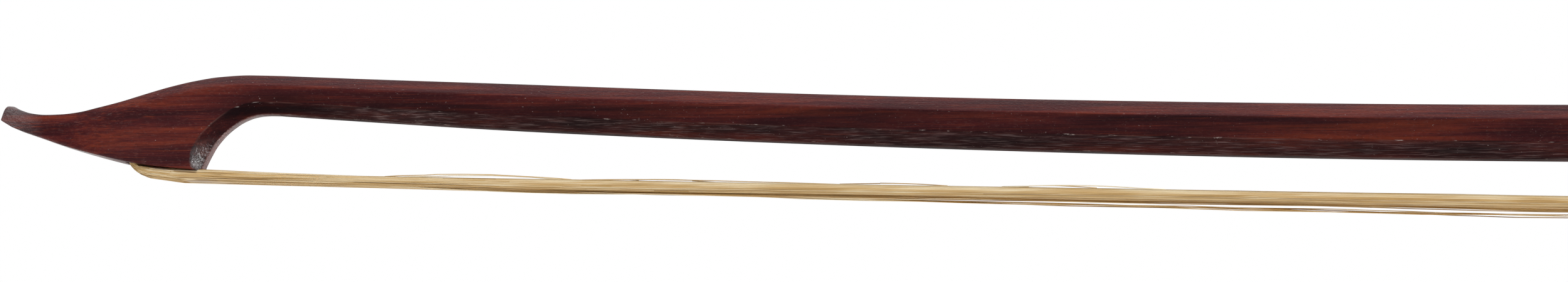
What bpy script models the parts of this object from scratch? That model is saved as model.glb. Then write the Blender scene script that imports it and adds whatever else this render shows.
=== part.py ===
"""Baroque violin bow with a beaked head, an open frog and a screw button.

Metres, +Z up, hair side down. X runs along the handle and its screw, with the beak's tip towards
-X and the button towards +X. Y = 0 is the bow's own middle plane. The origin is under the middle of
the bow, level with the frog's base.

Three plain coordinate systems are used. A station is a distance from the beak's tip along X, with
heights over the handle's axis. Head points are (along, over): along the hair from the tip, and over
the hair's top line. Frog points are (along, over): from the frog's tongue towards the heel, and over
the handle's axis.
"""

import math

import bmesh
import bpy
from mathutils import Vector

# Overall lengths
STICK_LENGTH = 0.690
BUTTON_LENGTH = 0.013
CLEARANCE = 0.0003
OVERALL_LENGTH = STICK_LENGTH + CLEARANCE + BUTTON_LENGTH

# The stick's camber: it bends in a steady arc behind the head and eases out to a straight handle
CAMBER_RADIUS = 3.846
CAMBER_EASE = 0.130
CAMBER_START = 0.364

# The stick is a regular octagon, thinnest behind the head: (station, width across flats)
STICK_WIDTHS = (
    (0.0426, 0.00590), (0.060, 0.00638), (0.080, 0.00686), (0.105, 0.00712), (0.150, 0.00752),
    (0.200, 0.00795), (0.260, 0.00825), (0.360, 0.00860), (0.500, 0.00880), (0.700, 0.00880),
)
HANDLE_WIDTH = STICK_WIDTHS[-1][1]
END_CHAMFER = 0.0006
OCTAGON_FLAT = math.tan(math.radians(22.5)) / 2
OCTAGON_CORNER = 0.5 - OCTAGON_FLAT

# Where the head's own curves meet the octagon of the stick
NECK_ALONG = 0.0426
NECK_OVER = 0.0121

# Frog and its place, slack
FROG_LENGTH = 0.040
FROG_WIDTH = 0.0098
FROG_TO_STICK_END = 0.012
FROG_TOP = -0.0026
HAIR_DROP = 0.0202
GROOVE_DEPTH = 0.0016
FROG_BASE = -(HAIR_DROP - CLEARANCE + GROOVE_DEPTH)
TONGUE_STATION = STICK_LENGTH - FROG_TO_STICK_END - FROG_LENGTH
AXIS_HEIGHT = -FROG_BASE

# Hair
RIBBON_WIDTH = 0.0066
RIBBON_WIDTH_IN_MORTISE = 0.0040
RIBBON_THICKNESS = 0.0012
BENT_THICKNESS = 0.0009
STRAND_RADIUS = 0.00014

# Mortises for the hair, one in the head and one in the frog, and what each holds
MORTISE_LENGTH = 0.0080
MORTISE_MOUTH_WIDTH = 0.0049
MORTISE_ROOF_WIDTH = 0.0039
MORTISE_ROOF_OVER_HAIR = 0.0060
HEAD_MORTISE_ALONG = 0.0192
FROG_MORTISE_TO_HEEL = 0.009
KNOT_RADIUS = 0.00115
KNOT_LENGTH = 0.0026
KNOT_OVER_HAIR = 0.0045
KNOT_WAIST_RADIUS = 0.0006
THREAD_TURNS = 4
PLUG_TOP_OVER_HAIR = 0.0030
PLUG_DRAFT = 0.0003
HEAD_PLUG_FACE = (0.00140, 0.00072)
FROG_PLUG_FACE = (0.0004, 0.0004)

# Screw, eyelet and button
SCREW_RADIUS = 0.0014
THREAD_DEPTH = 0.00035
THREAD_PITCH = 0.0007
THREAD_LENGTH = 0.0168
NIPPLE_RADIUS = 0.0008
NIPPLE_LENGTH = 0.0032
TANG_SIDE = 0.0024
TANG_LENGTH = 0.0085
EYELET_ALONG_FROG = 0.019
EYELET_RADIUS = 0.0029
EYELET_LENGTH = 0.0040
EYELET_WIDTH = 0.0048
EYELET_SHANK_RADIUS = 0.00135
EYELET_SHANK_END = -0.0115
EYELET_STOP_GAP = 0.0006
SLOT_LENGTH = 0.016
BUTTON_RADIUS = 0.0048
COLLAR_LENGTH = 0.0022
PIP_RADIUS = 0.0018
PIP_LENGTH = 0.0014
PIP_HOLE_DEPTH = 0.0016

ROUND_STEPS = 24

# Outlines of the head, in (along, over) head points
TOP_LINE = (
    (0.0001, 0.00795), (0.0007, 0.00962), (0.0011, 0.00992), (0.0018, 0.00989), (0.0029, 0.00940),
    (0.0046, 0.00889), (0.0066, 0.00870), (0.0092, 0.00881), (0.0118, 0.00915), (0.0146, 0.00984),
    (0.0182, 0.01080), (0.0220, 0.01201), (0.0258, 0.01317), (0.0295, 0.01409), (0.0333, 0.01475),
    (0.0380, 0.01508),
    (NECK_ALONG, NECK_OVER + STICK_WIDTHS[0][1] / 2),
)
FACE_LINE = (
    (0.0001, 0.00770), (0.0006, 0.00742), (0.0021, 0.00660), (0.0042, 0.00584), (0.0061, 0.00525),
    (0.0101, 0.00395), (0.0141, 0.00287), (0.0180, 0.00196), (0.0205, 0.00145), (0.0240, 0.00098),
    (0.0275, 0.00066), (0.0310, 0.00042),
)
# The throat's flat, and the edge that its chamfer leaves on the cheek, from the neck to the face
THROAT_LINE = (
    (NECK_ALONG, NECK_OVER - STICK_WIDTHS[0][1] / 2), (0.0404, 0.00906), (0.0386, 0.00872),
    (0.0370, 0.00810), (0.0358, 0.00735), (0.0347, 0.00645), (0.0338, 0.00550), (0.0329, 0.00428),
    (0.03225, 0.00308), (0.03180, 0.00215), (0.03144, 0.00135), (0.03124, 0.00085), (0.0310, 0.00042),
)
CHEEK_LINE = (
    (NECK_ALONG, NECK_OVER - OCTAGON_FLAT * STICK_WIDTHS[0][1]), (0.0387, 0.01072),
    (0.0367, 0.01017), (0.0347, 0.00912), (0.0328, 0.00753), (0.03115, 0.00570), (0.0304, 0.00421),
    (0.0300, 0.00325), (0.0299, 0.00230), (0.0299, 0.00160), (0.03005, 0.00108), (0.0305, 0.00068),
    (0.0310, 0.00046),
)
# Where each of those rings crosses the top line, and how deep the upper chamfer is there
TOP_STOPS = (
    NECK_ALONG, 0.0380, 0.0345, 0.0310, 0.0270, 0.0220, 0.0170, 0.0130, 0.0095, 0.0065, 0.0038,
    0.0012, 0.0001,
)
CHAMFER_DEPTHS = (
    (0.0001, 0.00025), (0.0013, 0.0004), (0.0027, 0.0008), (0.0043, 0.0013), (0.0068, 0.00147),
    (0.0106, 0.00165), (0.0140, 0.00170), (0.0300, 0.00172),
    (NECK_ALONG, OCTAGON_CORNER * STICK_WIDTHS[0][1]),
)
# Half widths of the head by distance along it: its ridge, the top of its cheeks and its face
RIDGE_HALVES = (
    (0.0, 0.00040), (0.003, 0.00040), (0.007, 0.00045), (0.012, 0.00060), (0.018, 0.00090),
    (0.025, 0.00110), (NECK_ALONG, OCTAGON_FLAT * STICK_WIDTHS[0][1]),
)
UPPER_HALVES = (
    (0.0, 0.00078), (0.003, 0.00085), (0.006, 0.00100), (0.010, 0.00135), (0.014, 0.00180),
    (0.018, 0.00220), (0.022, 0.00250), (0.028, 0.00280), (NECK_ALONG, STICK_WIDTHS[0][1] / 2),
)
FACE_HALVES = (
    (0.0, 0.00080), (0.003, 0.00090), (0.006, 0.00103), (0.009, 0.00130), (0.012, 0.00182),
    (0.014, 0.00240), (0.016, 0.00298), (0.019, 0.00350), (0.023, 0.00380), (0.031, 0.00385),
    (NECK_ALONG, STICK_WIDTHS[0][1] / 2 + 0.0001),
)
THROAT_HALF_AT_FACE = 0.00205
FLARE_POWER = 1.3
CHEEK_STEPS = 10
HEAD_RINGS = 30

# Loose hairs that have left the ribbon: (name, from, to, side of the middle, how far they stand off)
LOOSE_STRANDS = (
    ("loose_strand_upper_front", 0.058, 0.084, -0.0018, 0.00045),
    ("loose_strand_upper_rear", 0.088, 0.112, 0.0016, 0.00042),
    ("loose_strand_lower_near", 0.078, 0.470, -0.0016, -0.00062),
    ("loose_strand_lower_far", 0.108, 0.560, 0.0017, -0.00115),
)


def clear_scene():
    """Takes every object out of the file's scene."""
    for old in list(bpy.data.objects):
        bpy.data.objects.remove(old, do_unlink=True)


def new_collection(name):
    collection = bpy.data.collections.new(name)
    bpy.context.scene.collection.children.link(collection)
    return collection


clear_scene()
PARTS = new_collection("baroque_bow")
CUTTERS = new_collection("cutters")


def material(name, colour, roughness, metallic=0.0):
    """A Principled material with the part's own colour."""
    made = bpy.data.materials.new(name)
    made.use_nodes = True
    shader = made.node_tree.nodes["Principled BSDF"]
    shader.inputs["Base Color"].default_value = (*colour, 1.0)
    shader.inputs["Roughness"].default_value = roughness
    shader.inputs["Metallic"].default_value = metallic
    return made


WOOD = (0.072, 0.018, 0.014)
PALE_WOOD = (0.30, 0.17, 0.08)
HAIR = (0.50, 0.36, 0.19)
BURNT_HAIR = (0.10, 0.05, 0.02)
LINEN = (0.62, 0.55, 0.42)
STEEL = (0.55, 0.55, 0.56)
BRASS = (0.62, 0.44, 0.17)
BONE = (0.75, 0.68, 0.52)


def through(keys, at):
    """The value at a place on a smooth curve through (place, value) keys, without overshoot."""
    if at <= keys[0][0]:
        return keys[0][1]
    if at >= keys[-1][0]:
        return keys[-1][1]
    slopes = [(b[1] - a[1]) / (b[0] - a[0]) for a, b in zip(keys, keys[1:])]
    index = max(i for i in range(len(keys) - 1) if keys[i][0] <= at)

    def tangent(i):
        if i in (0, len(keys) - 1):
            return slopes[min(i, len(slopes) - 1)]
        before, after = slopes[i - 1], slopes[i]
        return 0.0 if before * after <= 0 else 2 * before * after / (before + after)

    (x0, y0), (x1, y1) = keys[index], keys[index + 1]
    span = x1 - x0
    t = (at - x0) / span
    rise = y0 * (1 + 2 * t) * (1 - t) ** 2 + y1 * t * t * (3 - 2 * t)
    return rise + span * (tangent(index) * t * (1 - t) ** 2 - tangent(index + 1) * t * t * (1 - t))


def along_points(points, share):
    """The point at a share, 0 to 1, of a smooth curve that gives each stretch of points equal share."""
    place = min(max(share, 0.0), 1.0) * (len(points) - 1)
    return tuple(through([(i, p[axis]) for i, p in enumerate(points)], place) for axis in (0, 1))


def camber(station):
    """Height of the stick's centre line over the handle's axis."""
    ahead = CAMBER_START - station
    if ahead <= 0:
        return 0.0
    eased = min(ahead, CAMBER_EASE)
    beyond = ahead - eased
    slope = eased * eased / (2 * CAMBER_EASE * CAMBER_RADIUS)
    rise = eased**3 / (6 * CAMBER_EASE * CAMBER_RADIUS)
    return rise + slope * beyond + beyond * beyond / (2 * CAMBER_RADIUS)


def row_point(station, y, over_axis):
    """A station and a height over the handle's axis as a point of the object's frame."""
    return Vector((station - OVERALL_LENGTH / 2, y, AXIS_HEIGHT + over_axis))


HAIR_TILT = math.atan((camber(NECK_ALONG) - NECK_OVER + HAIR_DROP) / (TONGUE_STATION - NECK_ALONG))


def head_point(along, y, over):
    """A head point, measured along and over the hair, as a point of the object's frame."""
    forth = along - NECK_ALONG
    up = over - NECK_OVER
    station = NECK_ALONG + forth * math.cos(HAIR_TILT) + up * math.sin(HAIR_TILT)
    height = camber(NECK_ALONG) - forth * math.sin(HAIR_TILT) + up * math.cos(HAIR_TILT)
    return row_point(station, y, height)


def add_part(name, mesh, look, parent=None):
    made = bpy.data.objects.new(name, mesh)
    mesh.materials.append(look)
    made.parent = parent
    PARTS.objects.link(made)
    return made


def add_cutter(name, mesh):
    made = bpy.data.objects.new(name, mesh)
    made.hide_render = True
    made.display_type = "WIRE"
    CUTTERS.objects.link(made)
    return made


def cut(target, cutter):
    """Takes the cutter's shape out of the target, live."""
    modifier = target.modifiers.new("cut_" + cutter.name, "BOOLEAN")
    modifier.operation = "DIFFERENCE"
    modifier.object = cutter
    modifier.solver = "EXACT"


def join(target, other):
    """Makes the other's shape one with the target, live."""
    modifier = target.modifiers.new("join_" + other.name, "BOOLEAN")
    modifier.operation = "UNION"
    modifier.object = other
    modifier.solver = "EXACT"


def mesh_of(name, shape):
    """A bmesh written to a new mesh, with every face pointing out."""
    shape.normal_update()
    bmesh.ops.recalc_face_normals(shape, faces=shape.faces)
    mesh = bpy.data.meshes.new(name)
    shape.to_mesh(mesh)
    shape.free()
    return mesh


def skin(name, rings, last_ring_folds=False):
    """A closed mesh over rings of equally many points. A last ring that folds is closed side to side."""
    shape = bmesh.new()
    rows = [[shape.verts.new(point) for point in ring] for ring in rings]
    count = len(rows[0])
    for row, after in zip(rows, rows[1:]):
        for i in range(count):
            j = (i + 1) % count
            shape.faces.new((row[i], row[j], after[j], after[i]))
    shape.faces.new(rows[0])
    if last_ring_folds:
        last = rows[-1]
        for i in range(count // 2 - 1):
            shape.faces.new((last[i], last[i + 1], last[count - 2 - i], last[count - 1 - i]))
    else:
        shape.faces.new(rows[-1])
    return mesh_of(name, shape)


def box_mesh(name, low, high, top_share=1.0):
    """A box between two corners, whose top is narrowed across Y by a share."""
    shape = bmesh.new()
    bmesh.ops.create_cube(shape, size=1.0)
    low, high = Vector(low), Vector(high)
    bmesh.ops.scale(shape, vec=high - low, verts=shape.verts)
    for vertex in shape.verts:
        if vertex.co.z > 0:
            vertex.co.y *= top_share
    bmesh.ops.translate(shape, vec=(low + high) / 2, verts=shape.verts)
    return mesh_of(name, shape)


def rod_along_x(name, start, end, radius, y=0.0, z=0.0, steps=ROUND_STEPS):
    """A plain cylinder along X."""
    shape = bmesh.new()
    bmesh.ops.create_cone(
        shape, cap_ends=True, segments=steps, radius1=radius, radius2=radius, depth=end - start
    )
    for vertex in shape.verts:
        vertex.co = Vector((vertex.co.z + (start + end) / 2, vertex.co.x + y, vertex.co.y + z))
    return mesh_of(name, shape)


def rod_along_z(name, x, low, high, radius, steps=ROUND_STEPS):
    """A plain cylinder along Z."""
    shape = bmesh.new()
    bmesh.ops.create_cone(
        shape, cap_ends=True, segments=steps, radius1=radius, radius2=radius, depth=high - low
    )
    bmesh.ops.translate(shape, vec=(x, 0, (low + high) / 2), verts=shape.verts)
    return mesh_of(name, shape)


def outline_mesh(name, points, half_width):
    """A flat outline in X and Z, given its thickness across Y, as a mesh."""
    curve = bpy.data.curves.new(name, "CURVE")
    curve.dimensions = "2D"
    curve.fill_mode = "BOTH"
    curve.extrude = half_width
    line = curve.splines.new("POLY")
    line.points.add(len(points) - 1)
    for target, (x, z) in zip(line.points, points):
        target.co = (x, z, 0, 1)
    line.use_cyclic_u = True
    guide = bpy.data.objects.new(name + "_outline", curve)
    CUTTERS.objects.link(guide)
    graph = bpy.context.evaluated_depsgraph_get()
    flat = bpy.data.meshes.new_from_object(guide.evaluated_get(graph))
    bpy.data.objects.remove(guide, do_unlink=True)
    shape = bmesh.new()
    shape.from_mesh(flat)
    bpy.data.meshes.remove(flat)
    bmesh.ops.remove_doubles(shape, verts=shape.verts, dist=1e-7)
    bmesh.ops.dissolve_limit(shape, angle_limit=1e-4, verts=shape.verts, edges=shape.edges)
    for vertex in shape.verts:
        vertex.co = Vector((vertex.co.x, -vertex.co.z, vertex.co.y))
    return mesh_of(name, shape)


def turned(name, profile, look, parent, steps=ROUND_STEPS, closed=False):
    """A shape turned round the X axis. Its (radius, x) profile runs from its +X end to its -X end."""
    mesh = bpy.data.meshes.new(name)
    points = [(radius, 0, x) for radius, x in profile]
    edges = [(i, i + 1) for i in range(len(points) - 1)]
    if closed:
        edges.append((len(points) - 1, 0))
    mesh.from_pydata(points, edges, [])
    made = add_part(name, mesh, look, parent)
    made.rotation_euler = (0, math.pi / 2, 0)
    spin = made.modifiers.new("turn", "SCREW")
    spin.steps = steps
    spin.render_steps = steps
    spin.use_merge_vertices = True
    spin.merge_threshold = 1e-6
    spin.use_smooth_shade = True
    return made


def soften(target, width, angle=35):
    """Breaks the sharp edges of a piece."""
    bevel = target.modifiers.new("softened_edges", "BEVEL")
    bevel.width = width
    bevel.segments = 2
    bevel.limit_method = "ANGLE"
    bevel.angle_limit = math.radians(angle)


# Stick and head


def octagon_ring(centre, up, width):
    """One octagonal section of the stick, with the same points as a ring of the head."""
    flat, half = OCTAGON_FLAT * width, width / 2
    side = [(-flat, half)]
    side += [(-half, flat - 2 * flat * i / CHEEK_STEPS) for i in range(CHEEK_STEPS + 1)]
    side += [(-flat, -half)]
    side += [(-y, z) for y, z in reversed(side)]
    return [centre + Vector((0, y, 0)) + up * z for y, z in side]


def stick_section(station, shrink=0.0):
    """The octagon at a station, square to the cambered centre line."""
    step = 0.001
    slope = (camber(station + step) - camber(station - step)) / (2 * step)
    up = Vector((-slope, 0, 1)).normalized()
    width = through(STICK_WIDTHS, station) - 2 * shrink
    return octagon_ring(row_point(station, 0, camber(station)), up, width)


def chamfer_line(along):
    """Height of the upper chamfer's lower edge over the hair."""
    return top_height(along) - through(CHAMFER_DEPTHS, along)


def top_height(along):
    return through(TOP_LINE, along)


def cheek_half(along, over):
    """Half the head's width at a place on its cheek, which flares towards the face."""
    top = chamfer_line(along)
    bottom = through(FACE_LINE, along)
    upper = through(UPPER_HALVES, along)
    lower = through(FACE_HALVES, along)
    share = min(max((top - over) / max(top - bottom, 1e-6), 0.0), 1.0)
    return upper + (lower - upper) * share**FLARE_POWER


def head_ring(share):
    """A ring of the head, as the section swings from the neck (0) down to the face (1)."""
    throat = along_points(THROAT_LINE, share)
    cheek = along_points(CHEEK_LINE, share)
    stops = [(i / (len(TOP_STOPS) - 1), stop) for i, stop in enumerate(TOP_STOPS)]
    ridge_along = through(stops, share)
    ridge = (ridge_along, top_height(ridge_along))
    chamfer = (ridge_along, chamfer_line(ridge_along))
    throat_half = THROAT_HALF_AT_FACE
    throat_half += (OCTAGON_FLAT * STICK_WIDTHS[0][1] - throat_half) * (1 - share) ** 0.6
    pull = max(0.0, (share - 0.55) / 0.45) ** 2
    side = [(*ridge, through(RIDGE_HALVES, ridge_along))]
    for i in range(CHEEK_STEPS + 1):
        part = i / CHEEK_STEPS
        along = chamfer[0] + (cheek[0] - chamfer[0]) * part
        straight = chamfer[1] + (cheek[1] - chamfer[1]) * part
        end_along = FACE_LINE[0][0] + (FACE_LINE[-1][0] - FACE_LINE[0][0]) * part
        end_straight = FACE_LINE[0][1] + (FACE_LINE[-1][1] - FACE_LINE[0][1]) * part
        over = straight + (through(FACE_LINE, end_along) - end_straight) * pull
        side.append((along, over, cheek_half(along, over)))
    side.append((*throat, throat_half))
    near = [head_point(along, -half, over) for along, over, half in side]
    far = [head_point(along, half, over) for along, over, half in reversed(side)]
    return near + far


def make_stick():
    """The stick, with its head carved from the same piece, its two mortises and the screw's bore."""
    stations = [STICK_LENGTH, STICK_LENGTH - END_CHAMFER, 0.620, 0.540, 0.460, 0.400]
    step = 0.018
    count = round((CAMBER_START - NECK_ALONG) / step)
    stations += [CAMBER_START - (CAMBER_START - NECK_ALONG) * i / count for i in range(count)]
    rings = [stick_section(stations[0], END_CHAMFER)]
    rings += [stick_section(station) for station in stations[1:]]
    rings += [head_ring(i / (HEAD_RINGS - 1)) for i in range(HEAD_RINGS)]
    stick = add_part("stick", skin("stick", rings, True), material("bow_wood", WOOD, 0.28))

    cut(stick, add_cutter("head_mortise", head_mortise()))
    slot_start = EYELET_STATION - EYELET_LENGTH / 2 - EYELET_STOP_GAP
    slot_half = EYELET_WIDTH / 2 + CLEARANCE
    slot = box_mesh(
        "eyelet_mortise",
        row_point(slot_start, -slot_half, -HANDLE_WIDTH),
        row_point(slot_start + SLOT_LENGTH, slot_half, EYELET_RADIUS + CLEARANCE),
    )
    cut(stick, add_cutter("eyelet_mortise", slot))
    bore_start = row_point(slot_start + SLOT_LENGTH / 2, 0, 0)
    bore_end = row_point(STICK_LENGTH + 0.002, 0, 0)
    bore = rod_along_x("screw_bore", bore_start.x, bore_end.x, SCREW_RADIUS + CLEARANCE, 0, bore_end.z)
    cut(stick, add_cutter("screw_bore", bore))
    pilot_start = row_point(slot_start - NIPPLE_LENGTH - 2 * CLEARANCE, 0, 0)
    pilot = rod_along_x(
        "nipple_hole", pilot_start.x, bore_start.x, NIPPLE_RADIUS + CLEARANCE, 0, pilot_start.z
    )
    cut(stick, add_cutter("nipple_hole", pilot))
    return stick


EYELET_STATION = TONGUE_STATION + EYELET_ALONG_FROG


def head_mortise():
    """The tapered pocket in the head that the knotted hair goes into."""
    mouth_half = MORTISE_MOUTH_WIDTH / 2
    corners = []
    for over, half in (
        (-0.001, mouth_half),
        (MORTISE_ROOF_OVER_HAIR, MORTISE_ROOF_WIDTH / 2),
    ):
        start, end = HEAD_MORTISE_ALONG, HEAD_MORTISE_ALONG + MORTISE_LENGTH
        corners.append(
            [
                head_point(start, -half, over), head_point(end, -half, over),
                head_point(end, half, over), head_point(start, half, over),
            ]
        )
    return skin("head_mortise", corners)


# Hair and what holds it in the two mortises


def head_place(deep, y, over):
    """A place in the head's mortise: from its tip-side wall towards the frog, and over the hair."""
    return head_point(HEAD_MORTISE_ALONG + deep, y, over)


def frog_place(deep, y, over):
    """A place in the frog's mortise: from its heel-side wall towards the head, and over the hair."""
    return row_point(TONGUE_STATION + FROG_MORTISE_BACK - deep, y, over - HAIR_DROP)


FROG_MORTISE_BACK = FROG_LENGTH - FROG_MORTISE_TO_HEEL

# The ribbon's middle line from each knot out of its mortise: (deep, over, thickness, width)
FOLD_IN = (
    (0.0047, 0.00450, 0.0009, 0.0030), (0.0028, 0.00450, 0.0009, 0.0036),
    (0.0016, 0.00425, 0.0009, 0.0039), (0.0009, 0.00355, 0.0009, 0.0040),
    (0.00075, 0.00265, 0.0009, 0.0040), (0.00075, 0.00165, 0.0009, 0.0041),
)
HEAD_FOLD_OUT = (
    (0.00085, 0.00125, 0.00092, 0.0043), (0.00132, 0.00082, 0.00096, 0.0046),
    (0.0022, 0.00042, 0.00105, 0.0050), (0.0034, 0.00014, 0.00130, 0.0055),
    (0.0052, -0.00009, 0.00139, 0.0059), (0.0080, -0.00037, 0.00146, 0.0063),
    (0.0118, -0.00059, 0.00130, 0.0066),
)
FROG_FOLD_OUT = (
    (0.00080, 0.00070, 0.0009, 0.0042), (0.00115, 0.00000, 0.0009, 0.0046),
    (0.0019, -0.00045, 0.0010, 0.0052), (0.0032, -0.00060, 0.0012, 0.0058),
    (0.0060, -0.00060, 0.0012, 0.0064), (0.0120, -0.00060, 0.0012, 0.0066),
)
# The free ribbon is a little fuller where slack lets its hairs spread: (station, thickness)
RIBBON_FULLNESS = (
    (0.031, 0.00130), (0.048, 0.00126), (0.064, 0.00156), (0.085, 0.00172), (0.110, 0.00156),
    (0.200, 0.00152), (0.400, 0.00146), (0.560, 0.00134), (0.638, 0.00120),
)
LENS = 12


def lens_ring(centre, across, thickness, width):
    """A flat rounded section of hair round a centre, thick along the given direction."""
    ring = []
    for i in range(LENS):
        angle = 2 * math.pi * i / LENS
        y = math.copysign(abs(math.cos(angle)) ** 0.8, math.cos(angle)) * width / 2
        z = math.copysign(abs(math.sin(angle)) ** 0.7, math.sin(angle)) * thickness / 2
        ring.append(centre + Vector((0, y, 0)) + across * z)
    return ring


def ribbon_stations():
    """The ribbon's middle line from knot to knot: centre point, thickness and width."""
    line = [(head_place(d, 0, o), t, w) for d, o, t, w in FOLD_IN + HEAD_FOLD_OUT]
    start = line[-1][0]
    frog_side = [(frog_place(d, 0, o), t, w) for d, o, t, w in FOLD_IN + FROG_FOLD_OUT]
    tongue = frog_place(FROG_MORTISE_BACK, 0, FROG_FOLD_OUT[-1][1])
    for station in (0.048, 0.062, 0.075, 0.092, 0.110, 0.150, 0.200, 0.300, 0.400, 0.480, 0.560, 0.600):
        share = (station - 0.031) / (TONGUE_STATION - 0.031)
        line.append((start.lerp(tongue, share), through(RIBBON_FULLNESS, station), RIBBON_WIDTH))
    line.append((tongue, RIBBON_THICKNESS, RIBBON_WIDTH))
    return line + frog_side[::-1]


def make_ribbon():
    """The flat bundle of hair, folded round the plug's edge into a mortise at each end."""
    line = ribbon_stations()
    rings = []
    for i, (centre, thickness, width) in enumerate(line):
        before = line[max(i - 1, 0)][0]
        after = line[min(i + 1, len(line) - 1)][0]
        forth = (after - before).normalized()
        across = Vector((-forth.z, 0, forth.x))
        rings.append(lens_ring(centre, across, thickness, width))
    return add_part("hair_ribbon", skin("hair_ribbon", rings), material("horsehair", HAIR, 0.45))


def make_loose_strands():
    """Slack hairs that bow away from the ribbon, each a small lock of a few hairs."""
    look = material("loose_horsehair", HAIR, 0.45)
    line = ribbon_stations()
    start = line[len(FOLD_IN + HEAD_FOLD_OUT) - 1][0]
    tongue = frog_place(FROG_MORTISE_BACK, 0, FROG_FOLD_OUT[-1][1])
    for name, first, last, y, stand_off in LOOSE_STRANDS:
        curve = bpy.data.curves.new(name, "CURVE")
        curve.dimensions = "3D"
        curve.bevel_depth = STRAND_RADIUS
        curve.bevel_resolution = 1
        curve.use_fill_caps = True
        spline = curve.splines.new("POLY")
        count = 9 if last - first < 0.05 else 17
        spline.points.add(count - 1)
        for i in range(count):
            share = i / (count - 1)
            station = first + (last - first) * share
            middle = start.lerp(tongue, (station - 0.031) / (TONGUE_STATION - 0.031))
            edge = through(RIBBON_FULLNESS, station) / 2 + STRAND_RADIUS + CLEARANCE
            bow = math.sin(math.pi * share) ** 0.5 * (abs(stand_off) - CLEARANCE)
            offset = math.copysign(edge + bow, stand_off)
            point = middle + Vector((0, y, offset))
            spline.points[i].co = (*point, 1)
        made = bpy.data.objects.new(name, curve)
        curve.materials.append(look)
        PARTS.objects.link(made)


def make_knot(prefix, place, sense, parent):
    """A tied and singed end of hair with its thread binding, lying along the mortise."""
    near = FOLD_IN[0][0] + CLEARANCE
    half, waist = KNOT_LENGTH / 2, KNOT_LENGTH / 4
    centre = place(near + half, 0.0, KNOT_OVER_HAIR) - (parent.location if parent else Vector())
    burnt = material(prefix + "_singed_hair", BURNT_HAIR, 0.6)
    profile = [
        (0.0, half), (KNOT_RADIUS * 0.7, half * 0.94), (KNOT_RADIUS, half * 0.72), (KNOT_RADIUS, waist),
        (KNOT_WAIST_RADIUS, waist * 0.8), (KNOT_WAIST_RADIUS, -waist * 0.8), (KNOT_RADIUS * 0.9, -waist),
        (KNOT_RADIUS * 0.95, -half * 0.9), (KNOT_RADIUS * 0.8, -half), (0.0, -half),
    ]
    knot = turned(prefix + "_hair_knot", profile, burnt, parent, 16)
    knot.location = centre
    inner, outer = KNOT_WAIST_RADIUS + CLEARANCE, KNOT_RADIUS
    reach = waist * 0.8 - CLEARANCE / 2
    wound = []
    for turn in range(THREAD_TURNS):
        top = reach - 2 * reach * turn / THREAD_TURNS
        pitch = 2 * reach / THREAD_TURNS
        wound += [(outer - pitch / 4, top), (outer, top - pitch / 2)]
    wound += [(outer - pitch / 4, -reach), (inner, -reach), (inner, reach)]
    linen = material(prefix + "_thread", LINEN, 0.8)
    thread = turned(prefix + "_knot_thread", wound, linen, parent, 16, True)
    thread.location = centre
    tilt = HAIR_TILT if sense > 0 else math.pi
    for piece in (knot, thread):
        piece.rotation_euler = (0, math.pi / 2 + tilt, 0)


def make_plug(name, place, face, parent):
    """The tapered plug that locks the knot in its mortise. Its face has a height at each end."""
    shift = parent.location if parent else Vector()
    hair_side = BENT_THICKNESS + 2 * CLEARANCE
    far_end = MORTISE_LENGTH - CLEARANCE
    rings = []
    for over_left, over_right, width in (
        (*face, MORTISE_MOUTH_WIDTH - 2 * CLEARANCE - PLUG_DRAFT),
        (PLUG_TOP_OVER_HAIR, PLUG_TOP_OVER_HAIR, MORTISE_ROOF_WIDTH - 2 * CLEARANCE + PLUG_DRAFT),
    ):
        half = width / 2
        rings.append(
            [
                place(hair_side, -half, over_left) - shift, place(far_end, -half, over_right) - shift,
                place(far_end, half, over_right) - shift, place(hair_side, half, over_left) - shift,
            ]
        )
    return add_part(name, skin(name, rings), material(name + "_wood", PALE_WOOD, 0.5), parent)


# Frog and eyelet

# The frog's side outline, from the tongue round its throat, top and heel: (along, over the axis)
TONGUE_THICKNESS = 0.0028
THROAT_DEPTH = 0.0112
THROAT_MOUTH = 0.0042
NOSE_THICKNESS = 0.0026
HEEL_RADIUS = 0.0042


def frog_outline():
    """The open frog in side view: a hollow throat, a straight top and a rounded heel."""
    base, top = FROG_BASE, FROG_TOP
    tongue_top = base + TONGUE_THICKNESS
    nose_under = top - NOSE_THICKNESS
    middle = (tongue_top + nose_under) / 2
    reach = (nose_under - tongue_top) / 2
    points = [(0.0009, base), (0.0002, base + 0.0006), (0.0, base + 0.0013), (0.0004, tongue_top - 0.0005)]
    for i in range(11):
        angle = math.pi * i / 10 - math.pi / 2
        hollow = math.cos(angle) ** 0.8 if 0 < i < 10 else 0.0
        depth = THROAT_MOUTH + (THROAT_DEPTH - THROAT_MOUTH) * hollow
        points.append((depth, middle + reach * math.sin(angle)))
    points[4] = (0.0016, tongue_top)
    points.insert(5, (0.0036, tongue_top + 0.00015))
    points += [(0.0036, top - 0.0017), (0.0040, top - 0.0006), (0.0049, top)]
    points.append((FROG_LENGTH - 0.0012, top))
    points.append((FROG_LENGTH - 0.0002, (top + base) / 2))
    for i in range(6):
        angle = math.radians(90 * i / 5)
        x = FROG_LENGTH - HEEL_RADIUS + HEEL_RADIUS * math.cos(angle)
        points.append((x, base + HEEL_RADIUS - HEEL_RADIUS * math.sin(angle)))
    return points


def channel_mesh():
    """The stick's lower three faces, let into the frog's top with a running clearance."""
    width = HANDLE_WIDTH + 2 * CLEARANCE
    flat, half = OCTAGON_FLAT * width, width / 2
    section = [(-half, flat), (-half, -flat), (-flat, -half), (flat, -half), (half, -flat), (half, flat)]
    rings = []
    for x in (-0.002, FROG_LENGTH + 0.002):
        rings.append([Vector((x, y, z)) for y, z in section])
    return skin("stick_channel", rings)


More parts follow.
